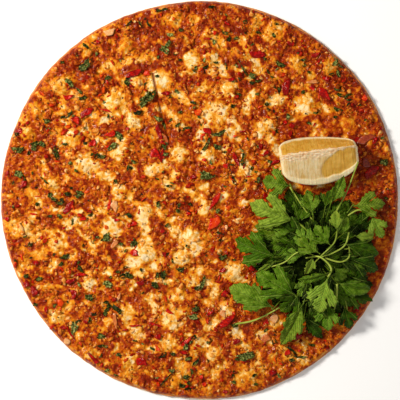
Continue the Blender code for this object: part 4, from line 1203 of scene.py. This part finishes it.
def lemon_look():
    look = Look("lemon", 0.35, 0.25)
    across = look.stretched((1, 0.16, 0.16), -LEMON_TURN)
    sacs = look.cells(1.6 * MM, across)[0]
    strands = look.noise(0.8 * MM, 3, 0.6, across)
    grain = look.calc("ADD", look.calc("MULTIPLY", sacs, 0.25), look.span(strands, 0.35, 0.65, 0.0, 0.18))
    grain = look.calc("ADD", grain, look.span(look.noise(6 * MM, 3), 0.35, 0.65, 0.0, 0.5))
    flesh = look.ramp(grain, ((0.05, (184, 130, 38)), (0.4, (202, 150, 54)), (0.75, (214, 166, 74)),
                              (1.0, (226, 190, 112))))
    skin = look.calc("ADD", look.calc("MULTIPLY", look.noise(0.9 * MM, 3, 0.6, across), 0.6),
                     look.calc("MULTIPLY", look.noise(9 * MM, 3), 0.6))
    membrane = look.ramp(skin, ((0.42, (200, 156, 82)), (0.56, (214, 180, 120)), (0.72, (228, 204, 156))))
    pith = look.ramp(look.noise(3 * MM, 4), ((0.3, (222, 198, 146)), (0.7, (236, 218, 174))))
    peel = look.ramp(look.noise(2 * MM, 3), ((0.3, (196, 140, 14)), (0.7, (222, 172, 34))))
    lengthwise = look.stretched((0.35, 1, 1), -LEMON_TURN)
    fibrous = look.noise(1.1 * MM, 4, 0.7, lengthwise, 0.6)
    fibres = look.ramp(fibrous, ((0.34, (204, 150, 96)), (0.50, (226, 194, 148)), (0.66, (242, 226, 194))))
    colour = look.mix(look.value("flesh"), membrane, flesh)
    colour = look.mix(look.value("pith"), colour, pith)
    colour = look.mix(look.value("fibre"), colour, fibres)
    look.set("Base Color", look.mix(look.value("peel"), colour, peel))
    look.set("Roughness", look.span(look.value("flesh"), 0, 1, 0.5, 0.24))
    look.set("Subsurface Weight", 0.1)
    look.set("Subsurface Scale", 3 * MM)
    relief = look.calc("MULTIPLY", sacs, look.value("flesh"))
    relief = look.calc("ADD", relief, look.calc("MULTIPLY", strands, 0.6))
    relief = look.calc("ADD", relief, look.calc("MULTIPLY", fibrous, look.value("fibre")))
    look.set("Normal", look.bump(relief, 0.3 * MM, 0.4))
    return look


def make_lemon_wedge():
    """A wedge lying on its peel: sections along the core line, closed by cut ends."""
    core, along, aside = lemon_frame()
    up = Vector((0, 0, 1))
    wide = aside * math.cos(LEMON_WIDE_FACE) - up * math.sin(LEMON_WIDE_FACE)
    wide_normal = aside * math.sin(LEMON_WIDE_FACE) + up * math.cos(LEMON_WIDE_FACE)
    stations, steps, arc = LEMON_STATIONS, LEMON_FACE_STEPS, LEMON_PEEL_STEPS
    points, values = [], []

    def face_point(offset, share, direction, normal, is_wide):
        """A point on a cut face, with its relief, and its shares of flesh, pith, peel and core fibres."""
        radius = lemon_radius(offset)
        end = abs(offset) / LEMON_TRIM
        s = offset / LEMON_TRIM
        wobble = 0.04 * noise.noise((s * 6, share * 3, is_wide * 9.0))
        rim = ease(np.array(share), 0.79 + wobble, 0.84 + wobble) if is_wide else ease(
            np.array(share), 0.86 + wobble, 0.91 + wobble)
        leftward = float(1 - ease(np.array(s), -0.1, 0.9))
        torn = noise.noise((s * 5, 5.0, 1.0)) + 0.6 * noise.noise((s * 16, share * 3, 4.0))
        reach = 0.04 + 0.19 * leftward + 0.08 * torn if is_wide else 0.03 + 0.07 * leftward + 0.09 * torn
        fibre = 0.9 * float(1 - ease(np.array(share), reach - 0.05, reach + 0.05))
        tip = ease(np.array(end), 0.93, 0.97)
        pith = float(np.clip(rim + tip, 0, 1))
        if is_wide:
            border = 0.12 + 2.0 * (share - 0.55) ** 2 - 0.25 * share
            border += 0.06 * noise.noise((share * 4, 3.3, 1.1))
            flesh = float(ease(np.array(s), border - 0.05, border + 0.06))
        else:
            flesh = 1.0
        flesh *= (1 - pith) * (1 - fibre)
        strand = noise.noise((s * 26, share * 2.2, 7.0 + is_wide))
        rise = -FLESH_SINK * flesh + 0.16 * MM * strand + 0.25 * MM * pith * float(1 - tip)
        rise += 0.35 * MM * fibre * noise.noise((s * 14, share * 16, 2.0))
        rise *= min(share / 0.05, (1 - share) / 0.04, 1.0)
        spot = core + along * offset + direction * (radius * share) + normal * rise
        return spot, (flesh, pith, 0.0, fibre)

    for i in range(stations + 1):
        offset = LEMON_TRIM * (2 * i / stations - 1)
        radius = lemon_radius(offset)
        slope = LEMON_STEEP_FACE + LEMON_TWIST * offset / LEMON_TRIM
        steep = -aside * math.cos(slope) - up * math.sin(slope)
        steep_normal = -aside * math.sin(slope) + up * math.cos(slope)
        first, last = -LEMON_WIDE_FACE, slope - math.pi
        for k in range(steps):
            spot, kind = face_point(offset, k / steps, wide, wide_normal, True)
            points.append(spot)
            values.append(kind)
        for k in range(arc):
            angle = first + (last - first) * k / arc
            pore = noise.noise((offset / (1.5 * MM), angle * 17, 2.0))
            reach = radius + 0.16 * MM * pore if k else radius
            outward = aside * math.cos(angle) + up * math.sin(angle)
            points.append(core + along * offset + outward * reach)
            values.append((0.0, 1.0, 0.0, 0.0) if k < 1 or k > arc - 1 else (0.0, 0.0, 1.0, 0.0))
        for k in range(steps, 0, -1):
            spot, kind = face_point(offset, k / steps, steep, steep_normal, False)
            points.append(spot)
            values.append(kind)
    count = 2 * steps + arc
    faces = []
    for i in range(stations):
        for k in range(count):
            a, b = i * count + k, i * count + (k + 1) % count
            faces.append([a, b, b + count, a + count])
    soften_ends(points, stations, count)
    for first_point in (0, stations * count):
        close_end(points, values, faces, first_point, count, along if first_point else -along)
    batch = Batch()
    flesh, pith, peel, fibre = np.array(values).T
    batch.add([tuple(p) for p in points], faces, flesh=flesh, pith=pith, peel=peel, fibre=fibre)
    wedge = batch.piece("lemon", lemon_look(), "lemon", turn_out=True)
    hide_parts("lemon_wedge")


def soften_ends(points, stations, count):
    """Draws the last sections in a little towards their middles, which rounds the edges of the cut ends."""
    for i in range(stations + 1):
        near_end = max(0.0, (abs(2 * i / stations - 1) - 1 + LEMON_END_SHARE) / LEMON_END_SHARE)
        section = points[i * count:(i + 1) * count]
        middle = sum(section, Vector()) / count
        for k, spot in enumerate(section):
            reach = (spot - middle).length
            inset = LEMON_END_ROUND * (1 - math.sqrt(max(0.0, 1 - near_end**2)))
            points[i * count + k] = middle.lerp(spot, 1 - inset / reach)


def close_end(points, values, faces, first_point, count, outward):
    """Closes a cut end with rings that shrink to its middle: peel, then pith, then flesh."""
    ring = list(range(first_point, first_point + count))
    middle = sum((points[i] for i in ring), Vector()) / count
    outline = [points[i].copy() for i in ring]
    for share in LEMON_END_RINGS:
        start = len(points)
        flesh = float(share < 0.83)
        for spot in outline:
            rise = -FLESH_SINK * flesh + 0.15 * MM * noise.noise(spot / (1.5 * MM) * share)
            points.append(middle.lerp(spot, share) + outward * rise)
            values.append((flesh, 1 - flesh, 0.0, 0.0))
        inner = list(range(start, start + count))
        for k in range(count):
            j = (k + 1) % count
            faces.append([ring[k], ring[j], inner[j], inner[k]])
        ring = inner
    faces.append(ring)


# Parsley


def leaf_look():
    look = Look("parsley_leaf", 0.46, 0.18, (0.75, 1.0, 0.3))
    along, across = look.value("along"), look.calc("ABSOLUTE", look.value("across"))
    nearest = across
    for slope, start, thin in ((1.5, 0.06, 0.55), (2.9, 0.04, 0.34)):
        line = look.calc("MULTIPLY", look.calc("SUBTRACT", along, start), slope)
        away = look.calc("MULTIPLY", look.calc("ABSOLUTE", look.calc("SUBTRACT", across, line)), thin)
        nearest = look.calc("MINIMUM", nearest, away)
    main_vein = look.span(nearest, 0.008, 0.030, 1.0, 0.0)
    row = look.calc("FRACT", look.calc("SUBTRACT", look.calc("MULTIPLY", along, 12.0),
                                       look.calc("MULTIPLY", across, 5.0)))
    side_vein = look.span(look.calc("ABSOLUTE", look.calc("SUBTRACT", row, 0.5)), 0.02, 0.10, 0.4, 0.0)
    veins = look.calc("MAXIMUM", main_vein, side_vein)
    tone = look.own_tone(5 * MM, 0.22, 5, 0.75)
    green = look.ramp(tone, ((0.0, (4, 10, 1)), (0.3, (26, 52, 1)), (0.6, (58, 96, 2)),
                             (1.0, (124, 158, 48))))
    yellow = look.ramp(tone, ((0.0, (14, 20, 1)), (0.5, (74, 92, 2)), (1.0, (146, 158, 50))))
    colour = look.mix(look.value("yellow"), green, yellow)
    look.set("Base Color", look.mix(look.calc("MULTIPLY", veins, 0.42), colour, (142, 162, 66)))
    quilt = look.calc("MULTIPLY", look.calc("ABSOLUTE", look.calc("SUBTRACT", row, 0.5)), -0.7)
    dents = look.calc("ADD", quilt, look.calc("MULTIPLY", veins, 0.8))
    puckers = look.calc("SUBTRACT", look.noise(2.2 * MM, 4), dents)
    look.set("Normal", look.bump(puckers, 0.9 * MM, 0.9))
    look.set("Subsurface Weight", 0.06)
    look.set("Subsurface Scale", 2 * MM)
    return look


def inside_outline(spot, outline):
    """Whether the closed outline runs round the spot."""
    inside = False
    for a, b in zip(outline, outline[1:] + outline[:1]):
        if (a[1] > spot[1]) != (b[1] > spot[1]):
            if spot[0] < a[0] + (spot[1] - a[1]) * (b[0] - a[0]) / (b[1] - a[1]):
                inside = not inside
    return inside


def leaf_sheet(draw, deep):
    """A leaf's plan: points as (along, across), triangles, and the number of points on its border."""
    sides = []
    for sign in (1, -1):
        side = []
        for along, across in (DEEP_LEAF if deep else BROAD_LEAF)[1:-1]:
            push = 1 + draw.uniform(-0.08, 0.08)
            side.append(np.array((along + draw.uniform(-0.018, 0.018), sign * across * push)))
        sides.append(side)
    base, tip = np.array((0.0, 0.0)), np.array((1.0, 0.0))
    outline = softened([base] + sides[0] + [tip] + sides[1][::-1], 1, 0.16)
    edge = np.array(outline)
    border = [(i, (i + 1) % len(outline)) for i in range(len(outline))]
    inner = []
    rows = int(1 / LEAF_GRID)
    for row in range(1, rows + 1):
        for column in range(-rows, rows + 1):
            spot = np.array((row * LEAF_GRID, (column + 0.5 * (row % 2)) * LEAF_GRID * 1.6))
            clear = np.hypot(spot[0] - edge[:, 0], (spot[1] - edge[:, 1]) * 0.6).min()
            if clear > 0.5 * LEAF_GRID and inside_outline(spot, outline):
                inner.append(spot)
    spots = [Vector(p) for p in outline + inner]
    flat, _, triangles = geometry.delaunay_2d_cdt(spots, border, [], 1, 1e-6)[:3]
    return [tuple(p) for p in flat], [list(t) for t in triangles], len(outline)


def add_leaf(batch, ground, draw, base, tip, width, roll, tone, yellow):
    """One leaf as a thin wavy solid between its base and its tip."""
    flat, triangles, border_count = leaf_sheet(draw, width > DEEP_LEAF_WIDTH)
    midrib = tip - base
    length = midrib.length
    forward = midrib.normalized()
    level = forward.cross(Vector((0, 0, 1))).normalized()
    side = math.cos(roll) * level + math.sin(roll) * level.cross(forward)
    face = side.cross(forward).normalized()
    half_width = width / 2
    wave_start, sway = draw.uniform(0, 6.28), draw.uniform(-0.10, 0.10)
    lift_left, lift_right = draw.uniform(-0.5, 0.4), draw.uniform(-0.5, 0.4)
    fold = draw.uniform(0.05, 0.45)
    sheet = []
    for along, across in flat:
        v = across * half_width
        rise = LEAF_DROOP * 4 * along * (1 - along) - LEAF_CUP * v * v
        rise += (lift_left if across > 0 else lift_right) * v * v + fold * abs(v)
        rise += LEAF_WAVE * along * math.sin(8 * across + 6 * along + wave_start) * abs(across)
        rise -= LEAF_GROOVE * math.exp(-(across / 0.10) ** 2)
        spot = base + length * (forward * along + side * (v + sway * along * along) + face * rise)
        spot.z = max(spot.z, ground.height(spot.x, spot.y) + LEAF_CLEARANCE)
        sheet.append(spot)
    half = face * (LEAF_THICKNESS / 2)
    points = [p + half for p in sheet] + [p - half for p in sheet]
    count = len(sheet)
    faces = [t[::-1] for t in triangles] + [[i + count for i in t] for t in triangles]
    for i in range(border_count):
        j = (i + 1) % border_count
        faces.append([i, j, j + count, i + count])
    along, across = np.array(flat).T
    shade = np.clip(tone + 0.10 * along, 0, 1)
    batch.add(points, faces, along=np.tile(along, 2), across=np.tile(across, 2), tone=np.tile(shade, 2),
              yellow=np.tile(np.clip(yellow * (0.6 + 0.6 * along), 0, 1), 2))


def smooth_route(points, steps):
    """A smooth curve through the points, with this many steps between each two."""
    route = [points[0]]
    for i in range(len(points) - 1):
        before, after = points[max(i - 1, 0)], points[min(i + 2, len(points) - 1)]
        start, end = points[i], points[i + 1]
        bend = (end - before) / 6, (after - start) / 6
        route += geometry.interpolate_bezier(start, start + bend[0], end - bend[1], end, steps + 1)[1:]
    return route


def add_stem(batch, route, diameter, tone):
    """A round stem along the route, grooved on top and thinner towards its end."""
    points, faces = [], []
    for i, spot in enumerate(route):
        forward = (route[min(i + 1, len(route) - 1)] - route[max(i - 1, 0)]).normalized()
        level = forward.cross(Vector((0, 0, 1))).normalized()
        rise = level.cross(forward)
        reach = diameter / 2 * (1 + (STEM_TAPER - 1) * i / (len(route) - 1))
        for k in range(STEM_SIDES):
            turn = 2 * math.pi * k / STEM_SIDES
            groove = 1 - 0.22 * math.exp(-((turn - math.pi / 2) / 0.5) ** 2)
            points.append(spot + (level * math.cos(turn) + rise * math.sin(turn)) * reach * groove)
    for i in range(len(route) - 1):
        for k in range(STEM_SIDES):
            a, b = STEM_SIDES * i + k, STEM_SIDES * i + (k + 1) % STEM_SIDES
            faces.append([a, b, b + STEM_SIDES, a + STEM_SIDES])
    faces += [list(range(STEM_SIDES)), list(range(len(points) - STEM_SIDES, len(points)))]
    batch.add([tuple(p) for p in points], faces, tone=tone)


def stem_look():
    look = Look("parsley_stem", 0.4, 0.25, (0.9, 1.0, 0.6))
    tone = look.own_tone(4 * MM, 0.2, spread=0.2)
    look.set("Base Color", look.ramp(tone, ((0.0, (34, 50, 3)), (0.5, (96, 116, 18)), (1.0, (166, 178, 70)))))
    look.set("Normal", look.bump(look.noise(1.2 * MM, 2), 0.2 * MM, 0.5))
    return look


def core_look():
    look = Look("parsley_shade", 0.9, 0.0)
    look.set("Base Color", look.ramp(look.noise(3 * MM, 4), ((0.35, (6, 10, 2)), (0.55, (16, 22, 4)),
                                                            (0.70, (34, 46, 6)))))
    look.set("Normal", look.bump(look.noise(2 * MM, 4), 1.0 * MM, 1.0))
    return look


def make_parsley_core(ground):
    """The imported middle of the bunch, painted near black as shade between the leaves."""
    centre = plan(*GARNISH_CENTRE)
    around, rings = 96, 24
    points, faces = [], []
    for ring in range(rings + 1):
        share = 1 - ring / rings
        for i in range(around):
            angle = 2 * math.pi * i / around
            outward = Vector((math.cos(angle), math.sin(angle), 0))
            x = centre.x + CORE_HALF_WIDTH * share * outward.x
            y = centre.y + CORE_HALF_DEPTH * share * outward.y
            crumple = noise.noise((x / (6 * MM), y / (6 * MM), 1.0))
            crumple += 0.5 * noise.noise((x / (2 * MM), y / (2 * MM), 4.0))
            height = CORE_HEIGHT * (1 - share**4) + 1.6 * MM * crumple * (1 - share**6)
            points.append((x, y, ground.height(x, y) + max(height, 0.0) + 0.2 * MM))
    for ring in range(rings):
        for i in range(around):
            a, b = ring * around + i, ring * around + (i + 1) % around
            faces.append([a, b, b + around, a + around])
    faces.append(list(range(around)))
    faces.append(list(range(len(points) - around, len(points))))
    batch = Batch()
    batch.add(points, faces)
    batch.piece("parsley_core", core_look(), "parsley_leaf", turn_out=True)


def make_parsley(ground, draw):
    """The bunch: the leaves and stems that show, two layers of random leaves below them, and the core."""
    make_parsley_core(ground)
    leaves, stems = Batch(), Batch()
    heart = plan(*GARNISH_CENTRE, 10 * MM)
    for base, tip, base_height, tip_height, width, roll, tone, yellow in LEAVES:
        start, end = plan(*base, base_height * MM), plan(*tip, tip_height * MM)
        add_leaf(leaves, ground, draw, start, end, width, math.radians(roll), tone, yellow)
        root = start.lerp(heart, 0.5)
        root.z = min(heart.z, start.z)
        stalk = smooth_route([start + (end - start) * 0.04, start, root], 4)
        add_stem(stems, stalk, STALK_DIAMETER, 0.35)
    for layer, number in enumerate((UNDER_LEAVES, MIDDLE_LEAVES)):
        for i in range(number):
            angle = GOLDEN_ANGLE * i + 0.4 * draw.uniform(-1, 1)
            reach = math.sqrt((i + 0.5) / number)
            outward = Vector((math.cos(angle) * CORE_HALF_WIDTH, math.sin(angle) * CORE_HALF_DEPTH, 0))
            start = heart + outward * (reach * 0.85)
            turn = angle + draw.uniform(-0.9, 0.9)
            length = draw.uniform(*RANDOM_LEAF_LENGTHS) * MM
            end = start + length * Vector((math.cos(turn), math.sin(turn), 0))
            start.z = (15 + 3 * layer - 7 * reach + draw.uniform(-2, 2)) * MM
            end.z = start.z - (3 + 2 * draw.random()) * MM * reach + draw.uniform(-1, 1) * MM
            # Painted light and shade: the layer below is dark as shade under the bunch, and middle leaves
            # towards the left, where the key light falls, are lighter
            leftward = float(ease(-outward.x, -20 * MM, 20 * MM))
            tone = draw.uniform(0.0, 0.22) if layer == 0 else draw.uniform(0.10, 0.60) + 0.20 * leftward
            add_leaf(leaves, ground, draw, start, end, draw.uniform(0.65, 1.1), draw.uniform(-0.5, 0.5),
                     tone, draw.uniform(0, 0.35))
    for stem in STEMS:
        route = smooth_route([plan(x, y, height * MM) for x, y, height in stem], 8)
        for spot in route:
            spot.z = max(spot.z, ground.height(spot.x, spot.y) + STEM_DIAMETER / 2)
        add_stem(stems, route, STEM_DIAMETER * draw.uniform(0.6, 0.85), draw.uniform(0.5, 0.95))
    leaf_piece = leaves.piece("parsley_leaves", leaf_look(), "parsley_leaf", turn_out=True)
    stems.piece("parsley_stems", stem_look(), "parsley_leaf", turn_out=True)
    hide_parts("parsley")


# Stage, light and camera


def make_floor():
    mesh = bpy.data.meshes.new("floor")
    half = FLOOR_HALF
    corners = [(-half, -half, 0), (half, -half, 0), (half, half, 0), (-half, half, 0)]
    mesh.from_pydata(corners, [], [(0, 1, 2, 3)])
    look = Look("floor", 0.9, 0.2)
    look.set("Base Color", linear(245, 244, 242))
    mesh.materials.append(look.material)
    floor = bpy.data.objects.new("floor", mesh)
    bpy.context.scene.collection.objects.link(floor)


def make_area_light(name, place, size, power, colour):
    lamp = bpy.data.lights.new(name, "AREA")
    lamp.shape = "DISK"
    lamp.size = size
    lamp.energy = power
    lamp.color = colour
    obj = bpy.data.objects.new(name, lamp)
    obj.location = place
    obj.rotation_euler = (-Vector(place)).to_track_quat("-Z", "Y").to_euler()
    bpy.context.scene.collection.objects.link(obj)


def make_light():
    world = bpy.data.worlds.new("studio")
    bpy.context.scene.world = world
    world.use_nodes = True
    sky = world.node_tree.nodes["Background"]
    sky.inputs["Color"].default_value = (1.0, 0.98, 0.96, 1)
    sky.inputs["Strength"].default_value = 0.36
    make_area_light("key", (-0.62, 0.30, 0.72), 0.26, 12.0, (1.0, 0.97, 0.92))
    make_area_light("fill", (0.3, -0.7, 1.0), 0.9, 2.0, (0.98, 0.98, 1.0))


def make_camera():
    camera = bpy.data.cameras.new("camera")
    camera.sensor_width = SENSOR
    camera.lens = SENSOR / DIAMETER * VIEW_HEIGHT
    obj = bpy.data.objects.new("camera", camera)
    obj.location = (0, 0, VIEW_HEIGHT)
    bpy.context.scene.collection.objects.link(obj)
    bpy.context.scene.camera = obj


def main():
    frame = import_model()
    bpy.context.scene.view_settings.view_transform = "Standard"
    make_floor()
    make_light()
    make_camera()
    make_bread(frame)
    spread = make_spread(frame, Clumps(random.Random(2)))
    ground = Ground(spread)
    make_crumbs(ground, random.Random(3))
    make_pepper(ground, random.Random(5))
    make_herbs(ground, random.Random(6))
    make_small_bits(ground, random.Random(8))
    make_lemon_wedge()
    make_parsley(ground, random.Random(4))


main()
